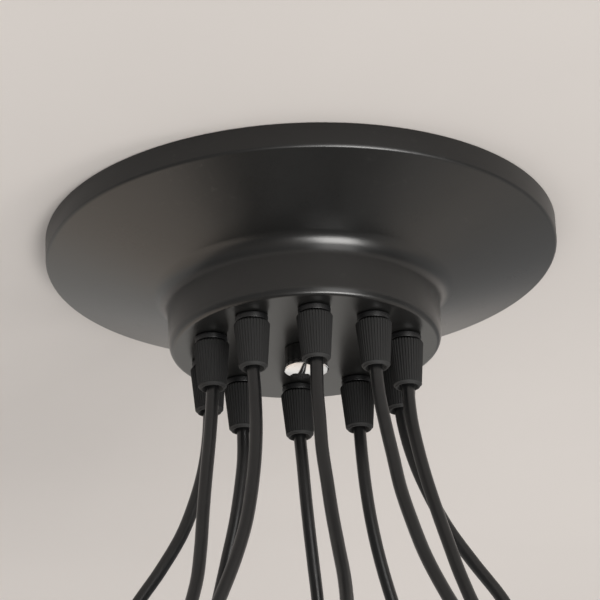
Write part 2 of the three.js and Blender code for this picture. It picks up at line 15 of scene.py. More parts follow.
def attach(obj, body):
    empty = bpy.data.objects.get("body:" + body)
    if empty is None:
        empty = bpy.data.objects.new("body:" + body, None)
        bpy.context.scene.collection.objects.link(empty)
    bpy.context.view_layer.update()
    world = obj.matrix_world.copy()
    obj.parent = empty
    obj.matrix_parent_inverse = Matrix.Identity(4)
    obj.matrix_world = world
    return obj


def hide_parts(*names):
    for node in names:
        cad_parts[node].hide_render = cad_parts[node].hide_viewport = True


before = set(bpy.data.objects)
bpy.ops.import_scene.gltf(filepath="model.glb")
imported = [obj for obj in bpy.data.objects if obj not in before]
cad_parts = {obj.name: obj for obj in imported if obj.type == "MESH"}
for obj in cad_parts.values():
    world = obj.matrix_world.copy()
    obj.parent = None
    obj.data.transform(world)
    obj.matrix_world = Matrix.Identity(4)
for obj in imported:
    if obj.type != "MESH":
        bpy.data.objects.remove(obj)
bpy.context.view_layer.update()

bl_info = {
    "name": "Cord chandelier",
    "version": (1, 0, 0),
    "blender": (4, 5, 0),
    "location": "View3D > Sidebar > Chandelier",
    "description": "Models a ceiling canopy with ten gripped cords, their coils and lamp holders",
    "category": "Object",
}

MM = 0.001
TURN = 2 * math.pi
SEAT = 0.3 * MM  # gap between pieces that rest on each other
MERGE = 0.002 * MM  # vertices nearer than this are one
MOSTLY = 0.9  # the share of a unit vector's length from which it points that way
UP = (0, 0, 1)

OUTLETS = 10
FIRST_GRIP = math.radians(23.6)
DROPS = [math.radians(a) for a in (12, 58, 93, 133, 177, 209, 241, 278, 313, 341.5)]

# The cords' routes from below the grips to where each comes to hang, in millimetres: the depths below
# the ceiling, then for each cord its X and its Y at those depths
DEPTHS = (100, 115, 131, 148, 166, 185, 205, 227)
ROUTES = [
    ((47, 50.8, 56.5, 64.3, 75.2, 87.5, 97, 104.5), (19.5, 19, 18, 17, 16, 15, 16, 17.5)),
    ((25.3, 26.3, 28.1, 31.1, 35.6, 41.6, 48.6, 56.1), (42.5, 44, 46.5, 50.5, 56.5, 64, 73.5, 84)),
    ((-4, -3.3, -2.3, -1, 0.4, 1, 0.5, -1), (49.5, 51, 54, 59.5, 67, 76.5, 88, 101)),
    ((-33, -35, -38, -42.5, -47.5, -53, -59.5, -67), (37, 38, 40, 44, 49.5, 57, 66, 76)),
    ((-49, -51.5, -56, -62.7, -73.2, -86.2, -96.5, -105), (10.5, 10, 9, 8, 6.5, 5.5, 6, 7.5)),
    ((-46, -47.6, -49.5, -51.2, -52.7, -55.2, -61.5, -78.5), (-19.5, -19, -19, -20, -22.5, -27.5, -34.5, -44)),
    ((-24.5, -24.5, -25.5, -27.5, -30.5, -35.5, -42, -50), (-42.5, -44, -46, -50, -56, -63.5, -73.5, -85.5)),
    ((4.5, 5, 5.5, 7, 8.5, 10.5, 12.5, 13), (-49, -50.5, -53, -57, -64, -73.5, -85.5, -99.5)),
    ((33.5, 35.5, 38, 40.5, 44.5, 49.5, 56.5, 65.5), (-37, -38.5, -40.5, -44, -49.5, -56.5, -65.5, -75.5)),
    ((48.5, 50.5, 53.5, 57.5, 62, 67, 74, 87.5), (-10.5, -11.5, -12.5, -14, -17, -20.5, -25, -32)),
]


# Settings


def length(name, description, millimetres):
    return FloatProperty(
        name=name, description=description, default=millimetres * MM, unit="LENGTH", precision=4
    )


def angle(name, description, degrees):
    return FloatProperty(name=name, description=description, default=math.radians(degrees), subtype="ANGLE")


def colour(name, description, default):
    return FloatVectorProperty(
        name=name, description=description, default=default, subtype="COLOR", min=0, max=1
    )


class CanopySettings(bpy.types.PropertyGroup):
    radius: length("Radius", "Outer radius at the ceiling", 125)
    wall: length("Wall", "Thickness of the spun sheet", 1.2)
    skirt: length("Skirt", "Height of the upright skirt", 12)
    fall: length("Fall", "How far the sloping face drops to the cup", 19)
    cup_radius: length("Cup radius", "Radius where the cup meets the face", 66.5)
    cup_foot: length("Cup foot radius", "Radius of the cup at its underside", 66)
    depth: length("Depth", "From the ceiling to the cup's underside", 58.5)
    rod_hole: length("Rod hole", "Radius of the hole for the rod", 4.3)
    grip_hole: length("Grip hole", "Radius of the holes for the cord grips", 5.3)
    paint: colour("Paint", "Colour of the satin paint", (0.0114, 0.0113, 0.0109))
    sheen: FloatProperty(
        name="Roughness", description="Roughness of the satin paint", default=0.29,
        subtype="FACTOR", min=0, max=1,
    )


class CordSettings(bpy.types.PropertyGroup):
    diameter: length("Diameter", "Outside diameter of the cord", 6.2)
    ring: length("Grip ring", "Radius of the ring on which the grips stand", 49)
    drop: length("Drop radius", "How far from the axis the cords hang", 125)
    coil_radius: length("Coil radius", "Radius of the outermost turn, at its middle", 45.8)
    coil_depth: length("Coil depth", "From the ceiling to the middle of the coils", 300)
    space: length("Space", "Room between turns that lie side by side", 0.8)
    tail: length("Tail", "Straight end below the middle of the coil", 54)
    sheath: colour("Sheath", "Colour of the cord's sheath", (0.0084, 0.0085, 0.0088))
    tie: colour("Tie", "Colour of the ties round the coils", (0.03, 0.03, 0.032))


class GripSettings(bpy.types.PropertyGroup):
    flange: length("Flange radius", "Radius of the flange below the canopy", 7.8)
    flange_height: length("Flange height", "Height of the flange", 2.9)
    shank: length("Shank radius", "Radius of the threaded shank", 5)
    bore: length("Bore", "Radius of the way for the cord", 3.6)
    nut_flats: length("Nut flats", "Distance across the nut's flats", 15)
    nut_height: length("Nut height", "Height of the nut in the canopy", 3.6)
    collet: length("Collet radius", "Radius of the collet", 5.9)
    collet_length: length("Collet length", "Length of the collet below the flange", 11.2)
    cap_length: length("Cap length", "Length of the fluted cap", 23)
    cap_top: length("Cap top radius", "Radius of the fluted cap at its shoulder", 8.6)
    cap_foot: length("Cap foot radius", "Radius of the fluted cap above its lip", 6.8)
    groove: length("Groove", "Open groove between the flange and the cap", 0.6)
    flutes: IntProperty(name="Flutes", description="Number of flutes round a cap", default=36, min=12, max=60)
    flute_depth: length("Flute depth", "Depth of the flutes", 0.42)
    nylon: colour("Nylon", "Colour of the grips", (0.0078, 0.008, 0.0086))


class CentreSettings(bpy.types.PropertyGroup):
    collar: length("Collar radius", "Radius of the collar", 10.2)
    collar_height: length("Collar height", "Height of the collar", 9.4)
    nut: length("Cap nut radius", "Radius of the cap nut", 10.7)
    nut_rim: length("Cap nut rim", "Height of the cap nut's rim", 1)
    nut_dome: length("Cap nut dome", "Height of the cap nut's dome", 1.4)
    rod: length("Rod radius", "Outer radius of the threaded rod", 4)
    thread: length("Thread pitch", "Pitch of the rod's thread", 1.25)
    chrome: colour("Chrome", "Colour of the chrome plating", (0.78, 0.78, 0.79))


class FixingSettings(bpy.types.PropertyGroup):
    length: length("Length", "Length of the ceiling strap", 160)
    width: length("Width", "Width of the ceiling strap", 24)
    thickness: length("Thickness", "Thickness of the ceiling strap", 2)
    pad: length("Pad", "Length of each end that lies on the ceiling", 30)
    step_run: length("Step run", "Length of each slanted step", 10)
    step_fall: length("Step fall", "How far the middle lies below the ceiling", 9)
    slot: length("Slot", "Length of the screw slots", 14)
    slot_width: length("Slot width", "Width of the screw slots", 6)
    zinc: colour("Zinc", "Colour of the zinc plating", (0.55, 0.56, 0.57))


class HolderSettings(bpy.types.PropertyGroup):
    radius: length("Radius", "Radius of the barrel", 20)
    rim: length("Rim radius", "Radius of the rim", 20.8)
    height: length("Length", "Length of the lamp holder", 68)
    neck: length("Neck radius", "Radius of the neck that grips the cord", 7.2)
    neck_length: length("Neck length", "Length of the neck", 14)
    mouth: length("Mouth radius", "Radius of the mouth for the lamp", 14.4)
    mouth_depth: length("Mouth depth", "Depth of the mouth", 40)
    ribs: IntProperty(name="Ribs", description="Number of ribs round the barrel", default=30, min=12, max=48)
    resin: colour("Resin", "Colour of the holder's body", (0.012, 0.012, 0.0122))
    brass: colour("Brass", "Colour of the thread shell", (0.63, 0.45, 0.19))
    porcelain: colour("Porcelain", "Colour of the insulator", (0.78, 0.77, 0.73))


class WiringSettings(bpy.types.PropertyGroup):
    length: length("Length", "Length of the terminal block", 34)
    width: length("Width", "Width of the terminal block", 17)
    height: length("Height", "Height of the terminal block", 13)
    tower: length("Tower", "Width of the screw towers", 10)
    foot: length("Foot", "Height of the block's foot", 6)
    offset: length("Offset", "Distance of the block from the axis", 24)
    core: length("Core diameter", "Outside diameter of a core", 1.9)
    nylon: colour("Nylon", "Colour of the terminal block", (0.72, 0.71, 0.66))


class StageSettings(bpy.types.PropertyGroup):
    ceiling: colour("Ceiling", "Colour of the ceiling", (0.67, 0.63, 0.6))
    surround: colour("Surroundings", "Colour of the light all round", (0.66, 0.65, 0.64))
    lens: FloatProperty(
        name="Lens", description="Focal length on a 36 mm sensor", default=178.6, unit="CAMERA"
    )
    distance: length("Distance", "How far the camera stands in front of the axis", 1326.87)
    drop: length("Drop", "How far the camera is below the ceiling", 617.34)
    pitch: angle("Pitch", "How far the camera looks up", 23.781)
    roll: angle("Roll", "How far the camera leans", -2.564)
    yaw: angle("Yaw", "How far the camera looks aside", -0.073)


SETTINGS = {
    "chandelier_stage": StageSettings,
    "chandelier_cords": CordSettings,
    "chandelier_canopy": CanopySettings,
    "chandelier_grips": GripSettings,
    "chandelier_centre": CentreSettings,
    "chandelier_fixing": FixingSettings,
    "chandelier_wiring": WiringSettings,
    "chandelier_holders": HolderSettings,
}


# Finishes


class Shade:
    """A shader socket that takes part in sums. Each operation adds its Math node."""

    def __init__(self, tree, socket=None):
        self.tree = tree
        self.socket = socket

    def node(self, kind, settings=None, inputs=None, output=0):
        """Adds a node: its settings first, then the values or links of its sockets."""
        made = self.tree.nodes.new(kind)
        for key, value in (settings or {}).items():
            if key == "stops":
                ramp = made.color_ramp.elements
                ramp[0].position = value[0][0]
                ramp[-1].position = value[-1][0]
                for position, _ in value[1:-1]:
                    ramp.new(position)
                for stop, (_, tint) in zip(ramp, value):
                    stop.color = (*tint, 1)
            else:
                setattr(made, key, value)
        for key, value in (inputs or {}).items():
            if isinstance(value, Shade):
                self.tree.links.new(value.socket, made.inputs[key])
            else:
                made.inputs[key].default_value = value
        return Shade(self.tree, made.outputs[output])

    def calculate(self, operation, *values):
        return self.node("ShaderNodeMath", {"operation": operation}, dict(enumerate(values)))

    def __add__(self, other):
        return self.calculate("ADD", self, other)

    __radd__ = __add__

    def __sub__(self, other):
        return self.calculate("SUBTRACT", self, other)

    def __rsub__(self, other):
        return self.calculate("SUBTRACT", other, self)

    def __mul__(self, other):
        return self.calculate("MULTIPLY", self, other)

    __rmul__ = __mul__

    def sine(self):
        return self.calculate("SINE", self)

    def between(self, low, high):
        """0 below low, 1 above high, and smooth between."""
        values = {"Value": self, "From Min": low, "From Max": high}
        return self.node("ShaderNodeMapRange", {"interpolation_type": "SMOOTHSTEP"}, values)

    def mix(self, first, second, blend="MIX"):
        """The first colour at 0, and at 1 the second, or with the blend MULTIPLY the product of both."""
        settings = {"data_type": "RGBA", "blend_type": blend}
        return self.node("ShaderNodeMix", settings, {0: self, 6: first, 7: second}, 2)

    def part(self, name):
        """X, Y or Z of a vector."""
        return self.node("ShaderNodeSeparateXYZ", inputs={0: self}, output=name)

    def noise(self, scale, detail=2.0, roughness=0.5, stretch=None):
        place = self
        if stretch:
            place = self.node("ShaderNodeMapping", inputs={"Vector": self, "Scale": stretch})
        values = {"Vector": place, "Scale": scale, "Detail": detail, "Roughness": roughness}
        return self.node("ShaderNodeTexNoise", inputs=values)

    def cells(self, scale, output):
        values = {"Vector": self, "Scale": scale}
        return self.node("ShaderNodeTexVoronoi", {"feature": "F1"}, values, output)

    def bump(self, strength, distance):
        values = {"Strength": strength, "Distance": distance, "Height": self}
        return self.node("ShaderNodeBump", inputs=values, output="Normal")


def paint(tint, amount=1.0):
    """A colour setting as four numbers, lighter or darker by an amount."""
    return (*[min(1.0, c * amount) for c in tint], 1.0)


class Finish:
    """A new material: the flat values go on the shader's own sockets, the varying ones are linked."""

    def __init__(self, name, **flat):
        self.material = bpy.data.materials.new(name)
        self.material.use_nodes = True
        tree = self.material.node_tree
        self.shader = tree.nodes["Principled BSDF"]
        self.place = Shade(tree).node("ShaderNodeTexCoord", output="Object")
        for key, value in flat.items():
            self.shader.inputs[key.replace("_", " ")].default_value = value

    def feed(self, **shades):
        for key, shade in shades.items():
            socket = self.shader.inputs[key.replace("_", " ")]
            self.place.tree.links.new(shade.socket, socket)
        return self.material


def satin_paint(name, tint, roughness):
    """Sprayed satin paint: a fine orange peel, patches of different gloss, a trace of dust, and painted shade
    darkening the skirt.
    """
    made = Finish(name, Specular_IOR_Level=0.5)
    patches = made.place.noise(22, 4, 0.55)
    peel = made.place.noise(620)
    grain = made.place.noise(5200, 1)
    dust = made.place.noise(260, 5, 0.7).between(0.55, 0.8) * patches.between(0.35, 0.75)
    base = patches.between(0.3, 0.7).mix(paint(tint, 0.92), paint(tint, 1.1))
    # The skirt, up against the ceiling, is duller, and its colour is darkened as painted shade from the ceiling
    # close above it
    skirt = made.place.part("Z").between(-12.4 * MM, -10.8 * MM)
    base = skirt.mix(base, paint(tint, 0.4))
    return made.feed(
        Base_Color=(dust * 0.16).mix(base, (0.16, 0.15, 0.135, 1)),
        Roughness=roughness + patches * 0.07 + dust * 0.12 + grain * 0.05 - 0.06 + skirt * 0.12,
        Normal=(peel + grain * 0.25).bump(0.1, 0.06 * MM),
    )


def moulded_nylon(name, tint, roughness, grain_bump=0.25):
    """Injection-moulded plastic: a fine spark-eroded grain and faint flow marks."""
    made = Finish(name, Specular_IOR_Level=0.45)
    flow = made.place.noise(90, 3, 0.6, (1, 1, 0.35))
    grain = made.place.noise(4200, 2, 0.6)
    return made.feed(
        Base_Color=flow.between(0.3, 0.75).mix(paint(tint, 0.9), paint(tint, 1.2)),
        Roughness=roughness + flow * 0.08 + grain * 0.08 - 0.08,
        Normal=(grain + flow * 0.3).bump(grain_bump, 0.04 * MM),
    )


def cord_sheath(tint):
    """Extruded flexible sheath: soft waves along it, a fine skin and a few dull spots."""
    made = Finish("cord_sheath", Specular_IOR_Level=0.46)
    waves = made.place.noise(130)
    skin = made.place.noise(2600, 2, 0.6)
    dull = made.place.noise(45, 4, 0.65).between(0.5, 0.75)
    return made.feed(
        Base_Color=dull.mix(paint(tint), paint(tint, 1.5)),
        Roughness=0.26 + dull * 0.1 + skin * 0.08,
        Normal=(waves * 1.6 + skin * 0.35).bump(0.12, 0.1 * MM),
    )


def chrome_plate(tint):
    """Bright chrome with a trace of turning marks and dull spots."""
    made = Finish("chrome", Metallic=1.0)
    marks = (made.place.part("Z") * 5200).sine()
    spots = made.place.noise(420, 4, 0.65).between(0.58, 0.78)
    return made.feed(
        Base_Color=spots.mix(paint(tint), paint(tint, 0.82)),
        Roughness=0.045 + spots * 0.12,
        Normal=marks.bump(0.015, 0.02 * MM),
    )


def zinc_plate(tint):
    """Zinc-plated steel: a soft spangle, faint rolling lines and dull patches."""
    made = Finish("zinc_plate", Metallic=1.0)
    spangle = made.place.cells(210, "Color").part("X")
    lines = made.place.noise(900, 2, 0.5, (0.03, 1, 1))
    dull = made.place.noise(60, 5, 0.6).between(0.4, 0.7)
    return made.feed(
        Base_Color=(spangle * 0.5 + dull * 0.5).mix(paint(tint), paint(tint, 0.72)),
        Roughness=0.28 + spangle * 0.1 + dull * 0.16,
        Normal=lines.bump(0.08, 0.05 * MM),
    )


def brass_shell(tint):
    """Rolled brass with darker tarnish in patches."""
    made = Finish("thread_shell", Metallic=1.0)
    tarnish = made.place.noise(160, 5, 0.65).between(0.42, 0.75)
    grain = made.place.noise(1500)
    base = tarnish.mix(paint(tint), paint(tint, 0.6))
    return made.feed(Base_Color=base, Roughness=0.22 + tarnish * 0.25, Normal=grain.bump(0.06, 0.04 * MM))


def glazed_porcelain(tint):
    """White glaze with faint specks over a slightly uneven body."""
    made = Finish("holder_porcelain", Coat_Weight=0.6, Coat_Roughness=0.08)
    specks = made.place.noise(900, 2, 0.6).between(0.66, 0.74)
    body = made.place.noise(120, 3)
    base = (specks * 0.5).mix(paint(tint), paint(tint, 0.7))
    return made.feed(Base_Color=base, Roughness=0.3 + body * 0.1, Normal=body.bump(0.1, 0.1 * MM))


def white_nylon(tint):
    """Milky nylon: slightly uneven in colour, with a fine grain."""
    made = Finish("terminal_nylon", Subsurface_Weight=0.15, Subsurface_Scale=2 * MM)
    cloud = made.place.noise(140, 4)
    grain = made.place.noise(3200)
    base = cloud.between(0.3, 0.7).mix(paint(tint, 0.9), paint(tint, 1.04))
    return made.feed(Base_Color=base, Roughness=0.42 + grain * 0.12, Normal=grain.bump(0.15, 0.04 * MM))


def core_plastic(name, first, second=None):
    """A core's insulation, with a stripe of a second colour where it has one."""
    made = Finish(name)
    cloud = made.place.noise(300, 3)
    shaded = cloud.between(0.3, 0.7).mix(paint(first, 0.9), paint(first, 1.1))
    if second:
        stripe = (made.place.part("X") + made.place.part("Y")) * 900
        shaded = stripe.sine().between(-0.1, 0.1).mix(shaded, paint(second))
    return made.feed(Base_Color=shaded, Roughness=0.38 + cloud * 0.1)


def woven_tie(tint):
    """Hook-and-loop tape: a dense pile of tiny loops."""
    made = Finish("cord_tie", Sheen_Weight=0.35, Sheen_Roughness=0.5)
    loops = made.place.cells(1500, "Distance")
    # Painted shade: the gaps between the loops, where the bump is lowest, are darker, and the loop tops lighter
    base = loops.between(0.1, 0.7).mix(paint(tint, 1.5), paint(tint, 0.6))
    return made.feed(Base_Color=base, Roughness=0.8 + loops * 0.15, Normal=(1 - loops).bump(0.7, 0.3 * MM))


# Modelling


def deselect():
    bpy.ops.object.select_all(action="DESELECT")


def only(obj):
    """Selects this object alone and makes it the active one."""
    deselect()
    obj.select_set(True)
    bpy.context.view_layer.objects.active = obj


def named(obj, name):
    obj.name = obj.data.name = name
    return obj


def settle(obj):
    """Brings an object to the origin, with its place, turn and scale in its mesh."""
    only(obj)
    bpy.ops.object.transform_apply(location=True, rotation=True, scale=True)
    return obj


@contextmanager
def shaping(obj):
    """Edit mode on one object, with all of it selected."""
    only(obj)
    bpy.ops.object.mode_set(mode="EDIT")
    bpy.ops.mesh.select_mode(type="VERT")
    select_whole()
    yield
    bpy.ops.object.mode_set(mode="OBJECT")


def select_whole():
    bpy.ops.mesh.select_all(action="SELECT")


def merge():
    """In edit mode, makes one vertex of those that lie together."""
    select_whole()
    bpy.ops.mesh.remove_doubles(threshold=MERGE)


def face_out():
    """In edit mode, turns all faces outwards."""
    select_whole()
    bpy.ops.mesh.normals_make_consistent(inside=False)


def cut(place, across, **sides):
    """In edit mode, cuts the whole mesh along a plane. The sides say what is cleared and filled."""
    select_whole()
    bpy.ops.mesh.bisect(plane_co=place, plane_no=across, **sides)


def pick(obj, mode, wanted):
    """In edit mode, selects the vertices, edges or faces whose middle and normal or direction are wanted."""
    bpy.ops.mesh.select_mode(type=mode)
    bpy.ops.mesh.select_all(action="DESELECT")
    mesh = bmesh.from_edit_mesh(obj.data)
    if mode == "VERT":
        for v in mesh.verts:
            v.select_set(bool(wanted(v.co, v.normal)))
    elif mode == "EDGE":
        for e in mesh.edges:
            a, b = (v.co for v in e.verts)
            e.select_set(bool(wanted((a + b) / 2, (b - a).normalized())))
    else:
        for f in mesh.faces:
            f.select_set(bool(wanted(f.calc_center_median(), f.normal)))
    mesh.select_flush_mode()
    bmesh.update_edit_mesh(obj.data)


def rounded(corners):
    """The points of an outline whose corners are (x, y, fillet radius, steps round the fillet)."""
    points = []
    for i, (x, y, *fillet) in enumerate(corners):
        corner = Vector((x, y))
        if not fillet:
            points.append(corner)
            continue
        radius, steps = fillet
        before = (Vector(corners[i - 1][:2]) - corner).normalized()
        after = (Vector(corners[(i + 1) % len(corners)][:2]) - corner).normalized()
        half = before.angle(after) / 2
        centre = corner + (before + after).normalized() * radius / math.sin(half)
        arm = corner + before * radius / math.tan(half) - centre
        sweep = (math.pi - 2 * half) * math.copysign(1, after.cross(before))
        points += [centre + Matrix.Rotation(sweep * step / steps, 2) @ arm for step in range(steps + 1)]
    return points


@contextmanager
def drawing(name, points):
    """Edit mode on a new line of (radius, height) points, drawn vertex by vertex."""
    deselect()
    bpy.ops.mesh.primitive_plane_add(size=MM, calc_uvs=False)
    obj = named(bpy.context.object, name)
    with shaping(obj):
        bpy.ops.mesh.merge(type="CENTER")
        bpy.ops.transform.translate(value=(points[0][0], 0, points[0][1]))
        for (r0, z0), (r1, z1) in zip(points, points[1:]):
            bpy.ops.mesh.extrude_vertices_move(TRANSFORM_OT_translate={"value": (r1 - r0, 0, z1 - z0)})
        yield obj


def drawn(name, points):
    with drawing(name, points) as obj:
        select_whole()
    return obj


def turned(name, outline, steps):
    """A solid of revolution: its outline is drawn and spun."""
    with drawing(name, outline) as obj:
        select_whole()
        bpy.ops.mesh.spin(steps=steps, angle=TURN, center=(0, 0, 0), axis=UP)
        merge()
        face_out()
    return obj


def ring(name, outline, steps):
    """A turned body with a hole: its outline runs all the way round."""
    return turned(name, [*outline, outline[0]], steps)


def box(name, size, middle=(0, 0, 0)):
    """A block whose size and middle are given, to be shaped further."""
    deselect()
    bpy.ops.mesh.primitive_cube_add(size=1, location=middle, calc_uvs=False)
    obj = named(bpy.context.object, name)
    obj.scale = size
    return settle(obj)


def rod(name, radius, bottom, top, sides, x=0.0, y=0.0, along=None):
    """An upright cylinder, or one that lies along a vector, to cut with."""
    deselect()
    middle = (x, y, (bottom + top) / 2)
    bpy.ops.mesh.primitive_cylinder_add(
        vertices=sides, radius=radius, depth=top - bottom, location=middle, calc_uvs=False
    )
    obj = named(bpy.context.object, name)
    if along:
        obj.rotation_euler = Vector(along).to_track_quat("Z", "Y").to_euler()
    return settle(obj)


def apply_modifier(obj, kind, **settings):
    """Adds a modifier and applies it."""
    only(obj)
    modifier = obj.modifiers.new(kind.title(), kind)
    for key, value in settings.items():
        setattr(modifier, key, value)
    bpy.ops.object.modifier_apply(modifier=modifier.name)


def cut_away(obj, others):
    """Cuts the others from obj, and uses them up."""
    for other in others:
        apply_modifier(obj, "BOOLEAN", object=other, operation="DIFFERENCE", solver="EXACT")
        bpy.data.objects.remove(other)


def join(name, parts):
    """Makes one object of several that don't need cutting."""
    only(parts[0])
    for part in parts[1:]:
        part.select_set(True)
    bpy.ops.object.join()
    return named(parts[0], name)


def soften(obj, width, segments=2, degrees=30):
    """Rounds the edges that turn by more than an angle."""
    apply_modifier(
        obj, "BEVEL", width=width, segments=segments, limit_method="ANGLE",
        angle_limit=math.radians(degrees), use_clamp_overlap=True,
    )
    return obj


def copy_to(obj, name, place):
    """A copy with its own mesh, moved to its place there."""
    made = obj.copy()
    made.data = obj.data.copy()
    named(made, name).data.transform(place)
    bpy.context.scene.collection.objects.link(made)
    return made


def dress(obj, material, body="root", nodes=(), degrees=35):
    """Gives a finished piece its smooth shading, material and body, and hides the imported parts that it stands
    for.
    """
    if obj.type == "MESH":
        only(obj)
        bpy.ops.object.shade_smooth_by_angle(angle=math.radians(degrees))
    obj.data.materials.clear()
    obj.data.materials.append(material)
    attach(obj, body)
    if nodes:
        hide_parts(*nodes)
    return obj


def wound(name, profile, pitch, turns, steps, foot, top, fill):
    """A thread: one pitch of its profile is drawn, wound up the axis, and cut off level at foot and top."""
    made = drawn(name, profile)
    apply_modifier(
        made, "SCREW", axis="Z", angle=TURN, screw_offset=pitch, iterations=turns, steps=steps,
        render_steps=steps, use_merge_vertices=True, merge_threshold=1e-6,
    )
    with shaping(made):
        merge()
        cut((0, 0, foot), UP, clear_inner=True, use_fill=fill)
        cut((0, 0, top), UP, clear_outer=True, use_fill=fill)
        face_out()
    return made


def hexagon_nut(name, flats, bottom, top, bore):
    """A hexagon with both ends chamfered and a countersunk bore: turned first, then cut flat on six sides."""
    reach = flats / 2
    corner = flats / math.sqrt(3)
    outside = corner + 0.1 * MM
    land = reach * 0.96
    rise = (corner - reach) * math.tan(math.radians(30)) * 1.15
    sink = 0.5 * MM
    shape = [
        (bore, bottom + sink), (bore + sink, bottom), (land, bottom), (outside, bottom + rise),
        (outside, top - rise), (land, top), (bore + sink, top), (bore, top - sink),
    ]
    nut = ring(name, shape, 96)
    with shaping(nut):
        for side in range(6):
            out = Vector((math.cos(TURN * side / 6), math.sin(TURN * side / 6), 0))
            cut(out * reach, out, clear_outer=True, use_fill=True)
        merge()
        face_out()
    return soften(nut, 0.07 * MM, 2, 28)


def round_bar(name, points, radius, sides):
    """A round bar along points, as a curve."""
    line = bpy.data.curves.new(name, "CURVE")
    line.dimensions = "3D"
    line.bevel_depth = radius
    line.bevel_resolution = sides // 4
    line.use_fill_caps = True
    spline = line.splines.new("POLY")
    spline.points.add(len(points) - 1)
    for point, place in zip(spline.points, points):
        point.co = (*place, 1)
    made = bpy.data.objects.new(name, line)
    bpy.context.scene.collection.objects.link(made)
    return made


def as_mesh(obj):
    only(obj)
    bpy.ops.object.convert(target="MESH")
    return bpy.context.object


def through(points, step):
    """Points about a step apart on a smooth curve through the given ones (centripetal Catmull-Rom)."""
    chain = [Vector(p) for p in points]
    chain = [2 * chain[0] - chain[1], *chain, 2 * chain[-1] - chain[-2]]
    line = []
    for p0, p1, p2, p3 in zip(chain, chain[1:], chain[2:], chain[3:]):
        t0, t1, t2 = (math.sqrt((b - a).length) for a, b in ((p0, p1), (p1, p2), (p2, p3)))
        start = ((p1 - p0) / t0 - (p2 - p0) / (t0 + t1) + (p2 - p1) / t1) * t1
        end = ((p2 - p1) / t1 - (p3 - p1) / (t1 + t2) + (p3 - p2) / t2) * t1
        count = max(2, round((p2 - p1).length / step))
        for s in (i / count for i in range(count)):
            ahead = 3 * s**2 - 2 * s**3
            line.append(p1 * (1 - ahead) + start * (s**3 - 2 * s**2 + s) + p2 * ahead + end * (s**3 - s**2))
    line.append(chain[-2])
    return line


def spoke(azimuth, out=0.0, across=0.0, z=0.0):
    """The place of a frame whose X axis points outwards at an azimuth, this far out, across and up."""
    return Matrix.Rotation(azimuth, 4, "Z") @ Matrix.Translation((out, across, z))


def grip_azimuth(i):
    return FIRST_GRIP + i * TURN / OUTLETS


def on_ring(cords, i, z=0.0):
    """The point at a height on the axis of grip i."""
    return spoke(grip_azimuth(i), cords.ring, 0, z).to_translation()


def copy_round_ring(scene, master, name, node, nylon, twist, turns=False, degrees=35):
    """Puts a copy of the master at each grip, each twisted further. One that turns rides on its own body."""
    for i in range(OUTLETS):
        place = spoke(grip_azimuth(i), scene.chandelier_cords.ring, 0, -scene.chandelier_canopy.depth)
        made = copy_to(master, f"{name}_{i + 1}", place @ Matrix.Rotation(twist * i, 4, "Z"))
        stood_for = f"{node}_{i + 1}"
        dress(made, nylon, stood_for if turns else "root", [stood_for], degrees)
    bpy.data.objects.remove(master)


# Pieces


class ChandelierOperator(bpy.types.Operator):
    bl_options = {"REGISTER", "UNDO"}

    @classmethod
    def poll(cls, context):
        return context.mode == "OBJECT"


